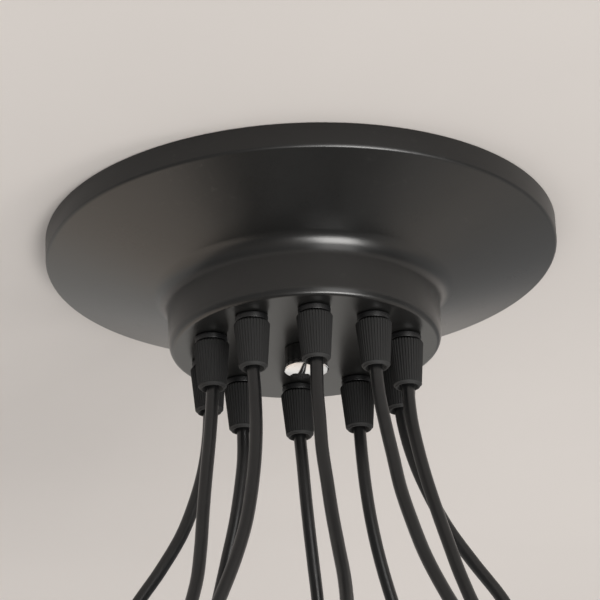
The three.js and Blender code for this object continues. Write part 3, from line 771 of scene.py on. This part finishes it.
class CHANDELIER_OT_stage(ChandelierOperator):
    """Sets the camera, the ceiling, the lamps and the pale surroundings"""

    bl_idname = "chandelier.stage"
    bl_label = "Stage"

    def execute(self, context):
        stage = context.scene.chandelier_stage
        context.scene.view_settings.view_transform = "Standard"
        self.place_camera(context, stage)
        self.make_ceiling(stage)
        self.light(context, stage)
        return {"FINISHED"}

    def place_camera(self, context, stage):
        flat = math.cos(stage.pitch)
        ahead = Vector((math.sin(stage.yaw) * flat, math.cos(stage.yaw) * flat, math.sin(stage.pitch)))
        level = Vector((math.cos(stage.yaw), -math.sin(stage.yaw), 0))
        upright = level.cross(ahead)
        right = level * math.cos(stage.roll) + upright * math.sin(stage.roll)
        up = upright * math.cos(stage.roll) - level * math.sin(stage.roll)
        data = bpy.data.cameras.new("camera")
        data.lens = stage.lens
        data.sensor_width = 36
        data.clip_start = 0.05
        data.clip_end = 50
        camera = bpy.data.objects.new("camera", data)
        axes = Matrix((right, up, -ahead)).transposed()
        camera.matrix_world = Matrix.Translation((0, -stage.distance, -stage.drop)) @ axes.to_4x4()
        context.scene.collection.objects.link(camera)
        context.scene.camera = camera

    def make_ceiling(self, stage):
        # It leaves a round opening inside the canopy, so that light from above reaches what the canopy hides
        opening = 118 * MM
        clear_of_canopy = 0.2 * MM
        spread = 60
        deselect()
        bpy.ops.mesh.primitive_circle_add(
            vertices=128, radius=opening, location=(0, 0, clear_of_canopy), calc_uvs=False
        )
        ceiling = named(bpy.context.object, "ceiling")
        with shaping(ceiling):
            bpy.ops.mesh.extrude_edges_move()
            bpy.ops.transform.resize(value=(spread, spread, 1), center_override=(0, 0, 0))
            face_out()
        if ceiling.data.polygons[0].normal.z > 0:
            with shaping(ceiling):
                bpy.ops.mesh.flip_normals()
        settle(ceiling)
        made = Finish("ceiling", Specular_IOR_Level=0.2)
        soft = made.place.noise(5, 3)
        skin = made.place.noise(260, 4, 0.6)
        # Painted light: the ceiling's colour is lighter further back, from Y 0 to 0.4 m, over the shadows that
        # the cords and lamp holders cast there; the soft noise is uneven tone
        far = made.place.part("Y").between(0.0, 0.4)
        tone_and_painted_light = soft.between(0.3, 0.7) * 0.2 + far * 0.8
        base = tone_and_painted_light.mix(paint(stage.ceiling, 0.985), paint(stage.ceiling, 1.08))
        made.feed(Base_Color=base, Roughness=0.85 + skin * 0.1, Normal=skin.bump(0.12, 0.2 * MM))
        # Seen from above, the ceiling is clear, so that the inside of the canopy shows
        shade = made.place
        above = shade.node("ShaderNodeNewGeometry", output="Backfacing")
        clear = shade.node("ShaderNodeBsdfTransparent")
        surface = Shade(shade.tree, made.shader.outputs[0])
        seen = shade.node("ShaderNodeMixShader", inputs={0: above, 1: surface, 2: clear})
        shade.tree.links.new(seen.socket, shade.tree.nodes["Material Output"].inputs["Surface"])
        ceiling.data.materials.append(made.material)
        ceiling.visible_shadow = False
        ceiling.visible_diffuse = False

    def light(self, context, stage):
        world = bpy.data.worlds.new("surroundings")
        context.scene.world = world
        world.use_nodes = True
        shade = Shade(world.node_tree)
        # Reflections show a room, darkest straight below, and bright and warm at the sides. It is dim at
        # the upper right and in front, and brighter at the lower left.
        way = shade.node("ShaderNodeTexCoord", output="Generated")
        height = way.part("Z") + 1
        aside = way.part("X")
        stops = [
            (0.0, (0.14, 0.14, 0.14)), (0.06, (0.22, 0.22, 0.22)), (0.135, (0.43, 0.43, 0.425)),
            (0.21, (0.64, 0.59, 0.54)), (0.33, (0.93, 0.84, 0.75)), (0.45, (1.0, 0.93, 0.86)),
            (0.6, (0.94, 0.92, 0.87)), (0.75, (0.74, 0.72, 0.69)), (1.0, (0.66, 0.65, 0.63)),
        ]
        room = height.node("ShaderNodeValToRGB", {"stops": stops}, {"Fac": height})
        dim = aside.between(0.08, 0.3) * height.between(0.25, 0.5)
        room = dim.mix(room, (0.51, 0.52, 0.54, 1), "MULTIPLY")
        front = (0 - way.part("Y")).between(-0.2, 0.15)
        room = front.mix(room, (0.34, 0.34, 0.35, 1), "MULTIPLY")
        bright = (0 - aside).between(0.08, 0.3) * (1 - height.between(0.4, 0.7))
        room = (bright * (1 - front)).mix(room, (1.14, 0.99, 0.85, 1))
        glossy = shade.node("ShaderNodeLightPath", output="Is Glossy Ray")
        seen = shade.node("ShaderNodeLightPath", output="Is Camera Ray")
        backdrop = (0.80, 0.79, 0.775, 1)
        tone = seen.mix(glossy.mix(paint(stage.surround), room), backdrop)
        world.node_tree.links.new(tone.socket, world.node_tree.nodes["Background"].inputs["Color"])
        # Each lamp: name, place, power, width, height, colour, and whether it lights and shows in gloss
        lamps = [
            ("front_lamp", (0.98, -1.51, -1.91), 27, 1.3, 1.3, (1, 0.985, 0.96), True, True),
            ("front_gloss", (0.97, -1.5, -1.9), 54, 1.25, 1.25, (1, 0.985, 0.96), False, True),
            ("upper_gloss", (1.14, -2.15, -0.62), 13, 1.3, 1.1, (1, 0.99, 0.97), False, True),
            ("right_lamp", (2.28, -0.3, -1.1), 12, 0.7, 0.7, (1, 0.98, 0.95), True, False),
        ]
        target = Vector((0, 0, -0.12))
        for name, place, power, wide, high, tint, lights, shows in lamps:
            data = bpy.data.lights.new(name, "AREA")
            data.shape = "RECTANGLE"
            data.size = wide
            data.size_y = high
            data.energy = power
            data.color = tint
            lamp = bpy.data.objects.new(name, data)
            lamp.visible_diffuse = lights
            lamp.visible_glossy = shows
            aim = (target - Vector(place)).to_track_quat("-Z", "Y")
            lamp.matrix_world = Matrix.Translation(place) @ aim.to_matrix().to_4x4()
            context.scene.collection.objects.link(lamp)


class CHANDELIER_OT_lamp_holders(ChandelierOperator):
    """Models one lamp holder with its thread shell and insulator, and hangs a copy on each cord"""

    bl_idname = "chandelier.lamp_holders"
    bl_label = "Lamp holders"

    def execute(self, context):
        holder = context.scene.chandelier_holders
        cords = context.scene.chandelier_cords
        body = self.body(holder)
        shell = self.thread_shell(holder)
        insulator = self.insulator(holder)
        resin = moulded_nylon("holder_resin", holder.resin, 0.36, 0.12)
        brass = brass_shell(holder.brass)
        porcelain = glazed_porcelain(holder.porcelain)
        top = -cords.coil_depth - cords.tail - SEAT
        across = (cords.diameter + cords.space) / 2
        for i, azimuth in enumerate(DROPS):
            place = spoke(azimuth, cords.drop, across, top)
            made = copy_to(body, f"holder_body_{i + 1}", place)
            dress(made, resin, nodes=[f"lamp_holder_{i + 1}"])
            dress(copy_to(shell, f"holder_shell_{i + 1}", place), brass)
            dress(copy_to(insulator, f"holder_insulator_{i + 1}", place), porcelain)
        for master in (body, shell, insulator):
            bpy.data.objects.remove(master)
        return {"FINISHED"}

    def body(self, holder):
        foot = -holder.height
        shoulder = -holder.neck_length
        rim = foot + 6 * MM
        bore = 3.25 * MM
        relief = 0.8 * MM
        groove = holder.neck - 0.9 * MM
        recess = holder.radius - relief
        end = foot + holder.mouth_depth
        outline = rounded([
            (bore, -7 * MM), (bore, -0.6 * MM), (3.9 * MM, 0, 0.3 * MM, 2), (holder.neck, 0, 1.2 * MM, 5),
            (holder.neck, -9.5 * MM, 0.3 * MM, 2), (groove, -9.9 * MM, 0.2 * MM, 2),
            (groove, -11.6 * MM, 0.2 * MM, 2), (holder.neck, -12 * MM, 0.3 * MM, 2),
            (holder.neck, shoulder, 1 * MM, 3), (holder.radius, shoulder, 9 * MM, 12),
            (holder.radius, rim + 12 * MM, 0.3 * MM, 2), (recess, rim + 11.4 * MM, 0.2 * MM, 2),
            (recess, rim + 0.8 * MM, 0.2 * MM, 2), (holder.rim, rim, 0.5 * MM, 3),
            (holder.rim, foot, 0.8 * MM, 4), (holder.mouth + 1.4 * MM, foot, 0.5 * MM, 3),
            (holder.mouth, foot + 1.6 * MM, 0.4 * MM, 3), (holder.mouth, end), (0, end),
        ])
        # Ribs: two of each six columns of the barrel are drawn inwards
        columns = holder.ribs * 6
        made = turned("holder_body", outline, columns)
        top = shoulder - 9.5 * MM
        low = rim + 13.5 * MM

        def in_furrow(place, _):
            column = round(math.atan2(place.y, place.x) / TURN * columns) % 6
            level = low + relief / 2 < place.z < top - relief / 2
            return column in (2, 3) and level and place.xy.length > holder.radius - 0.2 * MM

        with shaping(made):
            for z in (top, top - relief, low, low + relief):
                cut((0, 0, z), UP)
            pick(made, "VERT", in_furrow)
            bpy.ops.transform.resize(value=(0.955, 0.955, 1), center_override=(0, 0, 0))
        return made

    def thread_shell(self, holder):
        """A rolled round thread, of sheet."""
        pitch = 3.62 * MM
        crest = holder.mouth - 1.1 * MM
        depth = 0.45 * MM
        start = 5 * MM - holder.height
        steps = 8
        wave = [
            (crest - depth * (1 - math.cos(TURN * i / steps)) / 2, start + pitch * i / steps)
            for i in range(steps + 1)
        ]
        foot, top = 9 * MM - holder.height, 27 * MM - holder.height
        made = wound("holder_shell", wave, pitch, 6, 48, foot, top, False)
        apply_modifier(made, "SOLIDIFY", thickness=0.35 * MM, offset=0)
        return made

    def insulator(self, holder):
        floor = holder.mouth_depth - holder.height
        edge = holder.mouth - 0.3 * MM
        seat = floor - 6 * MM
        outline = rounded([
            (0, floor - 0.2 * MM), (edge, floor - 0.2 * MM), (edge, floor - 12.5 * MM, 0.4 * MM, 2),
            (holder.mouth - 3 * MM, floor - 12.5 * MM, 0.6 * MM, 3),
            (holder.mouth - 3.6 * MM, seat, 1.2 * MM, 4),
            (5.2 * MM, seat, 0.8 * MM, 3), (4.8 * MM, floor - 8 * MM, 0.6 * MM, 3), (0, floor - 8 * MM),
        ])
        return turned("holder_insulator", outline, 72)


class CHANDELIER_OT_cords(ChandelierOperator):
    """Lays the ten cords from grip to lamp holder through their coils, with two ties on each coil"""

    bl_idname = "chandelier.cords"
    bl_label = "Cords and coils"

    def execute(self, context):
        cords = context.scene.chandelier_cords
        canopy = context.scene.chandelier_canopy
        grips = context.scene.chandelier_grips
        sheath = cord_sheath(cords.sheath)
        tape = woven_tie(cords.tie)
        tie = self.tie()
        to_bundle = Matrix.Translation((37.05 * MM, 0, 0))  # from a coil's middle to the middle of its turns
        lip = -canopy.depth - SEAT - grips.flange_height - grips.groove - grips.cap_length
        for i, azimuth in enumerate(DROPS):
            number = str(i + 1)
            line = self.line(cords, canopy, i, lip)
            cord = round_bar("cord_line_" + number, line, cords.diameter / 2, 16)
            dress(cord, sheath, nodes=["cord_" + number, "cord_coil_" + number])
            hub = spoke(azimuth, cords.drop - cords.coil_radius, 0, -cords.coil_depth)
            for k, turn in enumerate((0.2, 0.72)):
                place = hub @ Matrix.Rotation(TURN * turn, 4, "Y") @ to_bundle
                made = copy_to(tie, f"coil_tie_{number}_{k + 1}", place)
                dress(made, tape)
            span = sum((b - a).length for a, b in zip(line, line[1:]))
        bpy.data.objects.remove(tie)
        return {"FINISHED"}

    def line(self, cords, canopy, i, lip):
        """The centreline of a cord: through its grip, along its route, round its coil and down."""
        pitch = cords.diameter + cords.space
        level = -cords.coil_depth

        def hanging(inset, across, rise):
            return spoke(DROPS[i], cords.drop + inset, across, level + rise).to_translation()

        in_grip = [on_ring(cords, i, z) for z in (canopy.wall - canopy.depth, lip + 12.4 * MM, lip)]
        route = [(x * MM, y * MM, -z * MM) for x, y, z in zip(*ROUTES[i], DEPTHS)]
        above_coil = cords.diameter + SEAT
        lead = [(-10 * MM, 46 * MM), (-1.8 * MM, 24 * MM), (0, above_coil + cords.diameter), (0, above_coil)]
        approach = [hanging(inset, -pitch / 2, rise) for inset, rise in lead]
        line = through([*in_grip, *route, *approach], 2.5 * MM)
        # Inwards on one layer, across to the other in half a turn, and outwards again
        turns = 5
        steps = 48
        for step in range(turns * steps + 1):
            done = step / steps
            radius = cords.coil_radius - pitch * min(done, turns - done)
            climb = min(1.0, max(0.0, (done - turns / 2) / 0.5 + 0.5))
            layer = pitch * (climb * climb * (3 - 2 * climb) - 0.5)
            sweep = -TURN * done
            line.append(hanging(radius * math.cos(sweep) - cords.coil_radius, layer, radius * math.sin(sweep)))
        into_holder = 4 * MM
        line += [hanging(0, pitch / 2, -z) for z in (12 * MM, 30 * MM, cords.tail + into_holder)]
        return line

    def tie(self):
        """A tape round the bundle of turns, lapped over itself."""
        high = 20.9 * MM
        wide = 13.6 * MM
        tape = 0.9 * MM
        made = box("coil_tie", (high, wide, 9 * MM))
        with shaping(made):
            pick(made, "FACE", lambda _, normal: abs(normal.z) > MOSTLY)
            bpy.ops.mesh.delete(type="FACE")
            pick(made, "EDGE", lambda _, along: abs(along.z) > MOSTLY)
            bpy.ops.mesh.bevel(offset=4.2 * MM, segments=6, affect="EDGES")
        apply_modifier(made, "SOLIDIFY", thickness=tape, offset=1)
        lap = box("lap", (tape, 9.5 * MM, 8.6 * MM), (high / 2 + 1.4 * MM, 0.6 * MM, 0))
        return join("coil_tie", [soften(made, 0.2 * MM), soften(lap, 0.3 * MM)])


class CHANDELIER_OT_canopy(ChandelierOperator):
    """Spins the canopy from one sheet and drills its holes"""

    bl_idname = "chandelier.canopy"
    bl_label = "Canopy"

    def execute(self, context):
        canopy = context.scene.chandelier_canopy
        outer = canopy.radius
        inner = outer - canopy.wall
        slope = canopy.fall / (outer - canopy.cup_radius)
        lift = canopy.wall * math.hypot(1, slope)
        cup_inner = canopy.cup_radius - canopy.wall
        foot = -canopy.depth
        floor = foot + canopy.wall
        edge = 0.35 * MM

        def face_at(radius):
            return lift - canopy.skirt - (outer - radius) * slope

        outline = rounded([
            (canopy.rod_hole, foot), (canopy.cup_foot - 4 * MM, foot),
            (canopy.cup_foot - 1.24 * MM, foot, 2.3 * MM, 10), (canopy.cup_foot, foot + 3.06 * MM, 8 * MM, 8),
            (canopy.cup_radius, -canopy.skirt - canopy.fall, 10.5 * MM, 22), (outer, -canopy.skirt, 2 * MM, 10),
            (outer, 0, edge, 3), (inner, 0, edge, 3), (inner, face_at(inner), 0.8 * MM, 5),
            (cup_inner, face_at(cup_inner), 11.4 * MM, 14),
            (canopy.cup_foot - canopy.wall, floor, 1.4 * MM, 6),
            (canopy.cup_foot - 6 * MM, floor), (canopy.rod_hole, floor),
        ])
        made = ring("canopy_sheet", outline, 240)
        past = 2 * MM
        places = [on_ring(context.scene.chandelier_cords, i) for i in range(OUTLETS)]
        drills = [rod("drill", canopy.grip_hole, foot - past, floor + past, 48, x, y) for x, y, _ in places]
        cut_away(made, drills)
        dress(made, satin_paint("canopy_paint", canopy.paint, canopy.sheen), nodes=["canopy"])
        return {"FINISHED"}


class CHANDELIER_OT_grip_bases(ChandelierOperator):
    """Models one cord grip's base with its flange, collet, shank and nut, and copies it round the ring"""

    bl_idname = "chandelier.grip_bases"
    bl_label = "Cord grip bases"

    def execute(self, context):
        grips = context.scene.chandelier_grips
        nut_foot = context.scene.chandelier_canopy.wall + SEAT
        nut_top = nut_foot + grips.nut_height
        top = nut_top + 1.6 * MM
        flange_foot = -SEAT - grips.flange_height
        collet_foot = flange_foot - grips.collet_length
        crest = grips.shank
        root = grips.shank - 0.35 * MM
        pitch = 0.8 * MM
        threads = []
        z = 0.2 * MM - SEAT
        while z + pitch < top:
            threads += [(crest, z), (crest, z + 0.15 * MM), (root, z + 0.4 * MM), (root, z + 0.5 * MM)]
            z += pitch
        outline = rounded([
            (grips.bore, collet_foot, 0.3 * MM, 2), (grips.collet - 0.8 * MM, collet_foot, 0.3 * MM, 2),
            (grips.collet, collet_foot + 2.4 * MM, 0.8 * MM, 3), (grips.collet, flange_foot),
            (grips.flange - 0.2 * MM, flange_foot, 0.25 * MM, 3), (grips.flange, -SEAT - 0.9 * MM, 0.5 * MM, 4),
            (grips.flange, -SEAT, 0.75 * MM, 6), (crest, -SEAT), *threads,
            (root, top, 0.25 * MM, 2), (grips.bore, top, 0.4 * MM, 3),
        ])
        body = ring("grip_base", outline, 64)
        nut = hexagon_nut("grip_nut", grips.nut_flats, nut_foot, nut_top, grips.shank - 0.2 * MM)
        nylon = moulded_nylon("grip_nylon", grips.nylon, 0.42)
        copy_round_ring(context.scene, join("grip_base", [body, nut]), "grip_body", "grip_base", nylon, 0.37)
        return {"FINISHED"}


class CHANDELIER_OT_grip_caps(ChandelierOperator):
    """Models one fluted cap with its shoulder, lip and countersunk mouth, and copies it to each grip"""

    bl_idname = "chandelier.grip_caps"
    bl_label = "Fluted grip caps"

    def execute(self, context):
        grips = context.scene.chandelier_grips
        top = -SEAT - grips.flange_height - grips.groove
        foot = top - grips.cap_length
        collet_foot = -SEAT - grips.flange_height - grips.collet_length
        room = grips.collet + 0.4 * MM
        start = foot + 1.3 * MM
        shoulder = top - 0.9 * MM
        outline = rounded([
            (5.05 * MM, foot, 0.2 * MM, 3), (5.85 * MM, foot, 0.35 * MM, 4),
            (5.95 * MM, foot + 0.6 * MM, 0.25 * MM, 3), (grips.cap_foot, start), (grips.cap_top, shoulder),
            (grips.cap_top - 0.3 * MM, shoulder + 0.5 * MM), (grips.cap_top - 0.9 * MM, top, 0.3 * MM, 3),
            (room, top, 0.3 * MM, 2), (room, collet_foot - 0.4 * MM), (grips.bore, foot + 4.4 * MM),
            (grips.bore, foot + 2.4 * MM, 0.6 * MM, 3),
        ])
        # Flutes: two of each four columns are drawn inwards
        columns = grips.flutes * 4
        made = ring("grip_cap", outline, columns)
        reach = 1 - grips.flute_depth / grips.cap_top

        def in_flute(place, _):
            column = round(math.atan2(place.y, place.x) / TURN * columns) % 4
            outside = place.xy.length > room + 0.15 * MM or place.z < collet_foot
            above_lip = place.z > start + 0.3 * MM and place.xy.length > grips.cap_foot - 0.6 * MM
            return column in (1, 2) and outside and above_lip

        with shaping(made):
            cut((0, 0, start + 0.5 * MM), UP)
            pick(made, "VERT", in_flute)
            bpy.ops.transform.resize(value=(reach, reach, 1), center_override=(0, 0, 0))
        nylon = bpy.data.materials["grip_nylon"]
        copy_round_ring(context.scene, made, "fluted_cap", "grip_cap", nylon, 0.53, True, 28)
        return {"FINISHED"}


class CHANDELIER_OT_centre(ChandelierOperator):
    """Turns the collar and the chromed cap nut under the middle of the canopy"""

    bl_idname = "chandelier.centre"
    bl_label = "Collar and cap nut"

    def execute(self, context):
        canopy = context.scene.chandelier_canopy
        centre = context.scene.chandelier_centre
        top = -canopy.depth - SEAT
        foot = top - centre.collar_height
        outline = rounded([
            (canopy.rod_hole, foot, 0.2 * MM, 2), (centre.collar, foot, 0.8 * MM, 6),
            (centre.collar, top, 0.4 * MM, 4), (canopy.rod_hole, top, 0.2 * MM, 2),
        ])
        collar_paint = satin_paint("collar_paint", canopy.paint, canopy.sheen - 0.06)
        dress(ring("collar", outline, 96), collar_paint, nodes=["centre_collar"])
        nut_top = foot - SEAT
        rim_foot = nut_top - centre.nut_rim
        bore = centre.rod + 0.4 * MM
        end = rim_foot - centre.nut_dome + 0.8 * MM
        face = centre.nut - 0.3 * MM
        edge = 0.25 * MM
        steps = 24
        dome = [
            (face * k / steps, rim_foot - edge - (centre.nut_dome - edge) * (1 - (k / steps) ** 2))
            for k in range(steps + 1)
        ]
        outline = rounded([
            (centre.nut, rim_foot), (centre.nut, nut_top, edge, 4), (bore, nut_top, 0.3 * MM, 3),
            (bore, end), (0, end),
        ])
        nut = turned("cap_nut", [*dome, *outline], 128)
        dress(nut, chrome_plate(centre.chrome), "cap_nut", ["centre_cap_nut"], 40)
        return {"FINISHED"}


class CHANDELIER_OT_fixing(ChandelierOperator):
    """Bends the ceiling strap, and cuts the rod's thread and its two nuts"""

    bl_idname = "chandelier.fixing"
    bl_label = "Strap, rod and nuts"

    def execute(self, context):
        fixing = context.scene.chandelier_fixing
        centre = context.scene.chandelier_centre
        zinc = zinc_plate(fixing.zinc)
        dress(self.strap(fixing, centre), zinc, nodes=["ceiling_strap"])
        dress(self.rod(centre), zinc, nodes=["threaded_rod"], degrees=25)
        flats, height = 13 * MM, 5 * MM
        for name, top in (("upper", -3.7 * MM), ("lower", -11.3 * MM)):
            nut = hexagon_nut("strap_nut_" + name, flats, top - height, top, centre.rod + 0.1 * MM)
            dress(nut, zinc, nodes=[f"rod_{name}_nut"])
        return {"FINISHED"}

    def strap(self, fixing, centre):
        end = fixing.length / 2
        pad = end - fixing.pad
        foot = pad - fixing.step_run
        low = -fixing.step_fall
        bend = 3.5 * MM
        side = fixing.width / 2
        path = rounded([
            (-end, 0), (-pad, 0, bend, 6), (-foot, low, bend, 6),
            (foot, low, bend, 6), (pad, 0, bend, 6), (end, 0),
        ])
        made = drawn("strap", [(x, z - fixing.thickness / 2) for x, z in path])
        with shaping(made):
            bpy.ops.transform.translate(value=(0, -side, 0))
            bpy.ops.mesh.extrude_edges_move(TRANSFORM_OT_translate={"value": (0, fixing.width, 0)})
            face_out()
        apply_modifier(made, "SOLIDIFY", thickness=fixing.thickness, offset=0, use_even_offset=True)

        def at_corner(place, along):
            return abs(along.z) > MOSTLY and abs(place.x) > end - MM and abs(place.y) > side - MM

        with shaping(made):
            pick(made, "EDGE", at_corner)
            bpy.ops.mesh.bevel(offset=3 * MM, segments=6, affect="EDGES")
        straight = fixing.slot - fixing.slot_width
        at = end - 6 * MM - fixing.slot / 2
        cutters = []
        for hand in (-1, 1):
            slot = rod("slot", fixing.slot_width / 2, -9 * MM, 5 * MM, 32)
            with shaping(slot):
                pick(slot, "VERT", lambda place, _: place.x > 0.01 * MM)
                bpy.ops.transform.translate(value=(straight, 0, 0))
                select_whole()
                bpy.ops.transform.translate(value=(hand * at - straight / 2, 0, 0))
            cutters.append(slot)
        cut_away(made, [*cutters, rod("rod_way", centre.rod + SEAT, -16 * MM, 2 * MM, 48)])
        return soften(made, 0.25 * MM, 2, 40)

    def rod(self, centre):
        """A metric thread, its ends cut flat."""
        pitch = centre.thread
        crest = centre.rod
        root = crest - 0.65 * pitch
        top = -2.5 * MM
        foot = -69.8 * MM
        start = foot - 1.5 * pitch
        flat, dip, rise = 0.12 * pitch, 0.5 * pitch, 0.62 * pitch
        wave = [(crest, 0), (crest, flat), (root, dip), (root, rise), (crest, pitch)]
        turns = math.ceil((top - foot) / pitch) + 2
        return wound("rod_thread", [(r, start + z) for r, z in wave], pitch, turns, 28, foot, top, True)


class CHANDELIER_OT_wiring(ChandelierOperator):
    """Models the terminal block with its screws, and the cords' inner ends with their cores"""

    bl_idname = "chandelier.wiring"
    bl_label = "Terminal block and leads"

    def execute(self, context):
        wiring = context.scene.chandelier_wiring
        floor = context.scene.chandelier_canopy.wall - context.scene.chandelier_canopy.depth
        pitch = wiring.length / 3
        self.block(wiring, floor + SEAT, pitch)
        self.screws(wiring, floor + SEAT, pitch)
        self.leads(context.scene.chandelier_cords, wiring, floor)
        return {"FINISHED"}

    def block(self, wiring, bottom, pitch):
        pole = box("pole", (pitch - 1.4 * MM, wiring.width, wiring.foot), (0, 0, wiring.foot / 2))
        half = wiring.tower / 2
        with shaping(pole):
            for y in (-half, half):
                cut((0, y, 0), (0, 1, 0))
            pick(pole, "FACE", lambda place, normal: normal.z > MOSTLY and abs(place.y) < half)
            bpy.ops.mesh.extrude_region_move(
                TRANSFORM_OT_translate={"value": (0, 0, wiring.height - wiring.foot)}
            )
            bpy.ops.mesh.inset(thickness=0.5 * MM)
        soften(pole, 0.5 * MM, 3, 40)
        way = rod("way", 1.7 * MM, -wiring.width, wiring.width, 24, along=(0, 1, 0))
        with shaping(way):
            bpy.ops.transform.translate(value=(0, 0, wiring.foot / 2))
        low, high = wiring.height - 3 * MM, wiring.height + MM
        wells = [rod("well", 1.9 * MM, low, high, 24, 0, side * half / 2) for side in (-1, 1)]
        cut_away(pole, [way, *wells])
        web_height = wiring.height - 5.2 * MM
        web = soften(box("web", (1.6 * MM, 11 * MM, web_height), (pitch / 2, 0, web_height / 2)), 0.2 * MM)
        nylon = white_nylon(wiring.nylon)
        parts = [copy_to(pole, "pole", Matrix.Translation((k * pitch, 0, 0))) for k in (-1, 0, 1)]
        parts += [copy_to(web, "web", Matrix.Translation((k * pitch, 0, 0))) for k in (-1, 0)]
        made = join("terminal_body", parts)
        made.data.transform(Matrix.Translation((0, wiring.offset, bottom)))
        dress(made, nylon, nodes=["terminal_block"])
        for master in (pole, web):
            bpy.data.objects.remove(master)

    def screws(self, wiring, bottom, pitch):
        radius, height = 1.7 * MM, 1.6 * MM
        head = turned("screw", rounded([(0, 0), (radius, 0), (radius, height, 0.25 * MM, 3), (0, height)]), 32)
        cut_away(head, [box("screw_slot", (4 * MM, 0.5 * MM, 1.4 * MM), (0, 0, height))])
        foot = bottom + wiring.height - 3 * MM
        made = []
        for k in (-1, 0, 1):
            for side in (-1, 1):
                place = Matrix.Translation((k * pitch, wiring.offset + side * wiring.tower / 4, foot))
                made.append(copy_to(head, "screw", place @ Matrix.Rotation(0.7 * k + side, 4, "Z")))
        dress(join("terminal_screws", made), bpy.data.materials["thread_shell"])
        bpy.data.objects.remove(head)

    def leads(self, cords, wiring, floor):
        """The sheath's end above each grip, and three cores from it, those of each colour gathered to one point
        where a closed-end connector would join them; no connector is modelled.
        """
        stub = 12 * MM
        spread = 1.3 * MM
        gather = 0.9 * MM
        stubs = []
        cores = {"brown": [], "blue": [], "green": []}
        for i in range(OUTLETS):
            points = [on_ring(cords, i, floor + stub * k / 4) for k in range(5)]
            stubs.append(as_mesh(round_bar("stub", points, cords.diameter / 2, 16)))
            for k, name in enumerate(cores):
                around = grip_azimuth(i) + TURN * k / 3
                start = points[-1] + spread * Vector((math.cos(around), math.sin(around), 0))
                goal = Vector(((k - 1) * 13 * MM, -20 * MM, floor + (8 + i * 0.9) * MM))
                goal += gather * Vector((math.cos(i * 2.4), 0, math.sin(i * 2.4)))
                side = math.copysign(1, start.x) if abs(start.x) > 5 * MM else 1
                height = floor + stub + (7 + i * 0.5) * MM
                middle = Vector((side * (17 + 2 * k) * MM, start.y * 0.45 - 4 * MM, height))
                rise = start + Vector((0, 0, 5 * MM))
                arch = (rise + middle) / 2 + Vector((0, 0, 3 * MM))
                inside = start - Vector((0, 0, 3 * MM))
                near = goal + Vector((0, 8 * MM, 1 * MM))
                path = through([inside, start, rise, arch, middle, near, goal], 2 * MM)
                cores[name].append(as_mesh(round_bar("core", path, wiring.core / 2, 8)))
        dress(join("inner_sheaths", stubs), bpy.data.materials["cord_sheath"])
        finishes = {
            "brown": core_plastic("core_brown", (0.13, 0.055, 0.028)),
            "blue": core_plastic("core_blue", (0.03, 0.1, 0.42)),
            "green": core_plastic("core_green", (0.05, 0.28, 0.06), (0.72, 0.6, 0.03)),
        }
        for name, made in cores.items():
            dress(join("cores_" + name, made), finishes[name])


OPERATORS = (
    CHANDELIER_OT_stage,
    CHANDELIER_OT_lamp_holders,
    CHANDELIER_OT_cords,
    CHANDELIER_OT_canopy,
    CHANDELIER_OT_grip_bases,
    CHANDELIER_OT_grip_caps,
    CHANDELIER_OT_centre,
    CHANDELIER_OT_fixing,
    CHANDELIER_OT_wiring,
)


class CHANDELIER_PT_panel(bpy.types.Panel):
    bl_idname = "CHANDELIER_PT_panel"
    bl_label = "Chandelier"
    bl_space_type = "VIEW_3D"
    bl_region_type = "UI"
    bl_category = "Chandelier"

    def draw(self, context):
        for operator in OPERATORS:
            self.layout.operator(operator.bl_idname)
        for name, group in SETTINGS.items():
            column = self.layout.column(align=True)
            column.label(text=group.__name__.replace("Settings", ""))
            for field in group.__annotations__:
                column.prop(getattr(context.scene, name), field)


def register():
    for name, group in SETTINGS.items():
        bpy.utils.register_class(group)
        setattr(bpy.types.Scene, name, PointerProperty(type=group))
    for kind in (*OPERATORS, CHANDELIER_PT_panel):
        bpy.utils.register_class(kind)


def unregister():
    for kind in (CHANDELIER_PT_panel, *reversed(OPERATORS)):
        bpy.utils.unregister_class(kind)
    for name, group in SETTINGS.items():
        delattr(bpy.types.Scene, name)
        bpy.utils.unregister_class(group)


def main():
    register()
    for operator in OPERATORS:
        section, name = operator.bl_idname.split(".")
        getattr(getattr(bpy.ops, section), name)()


if __name__ == "__main__":
    main()
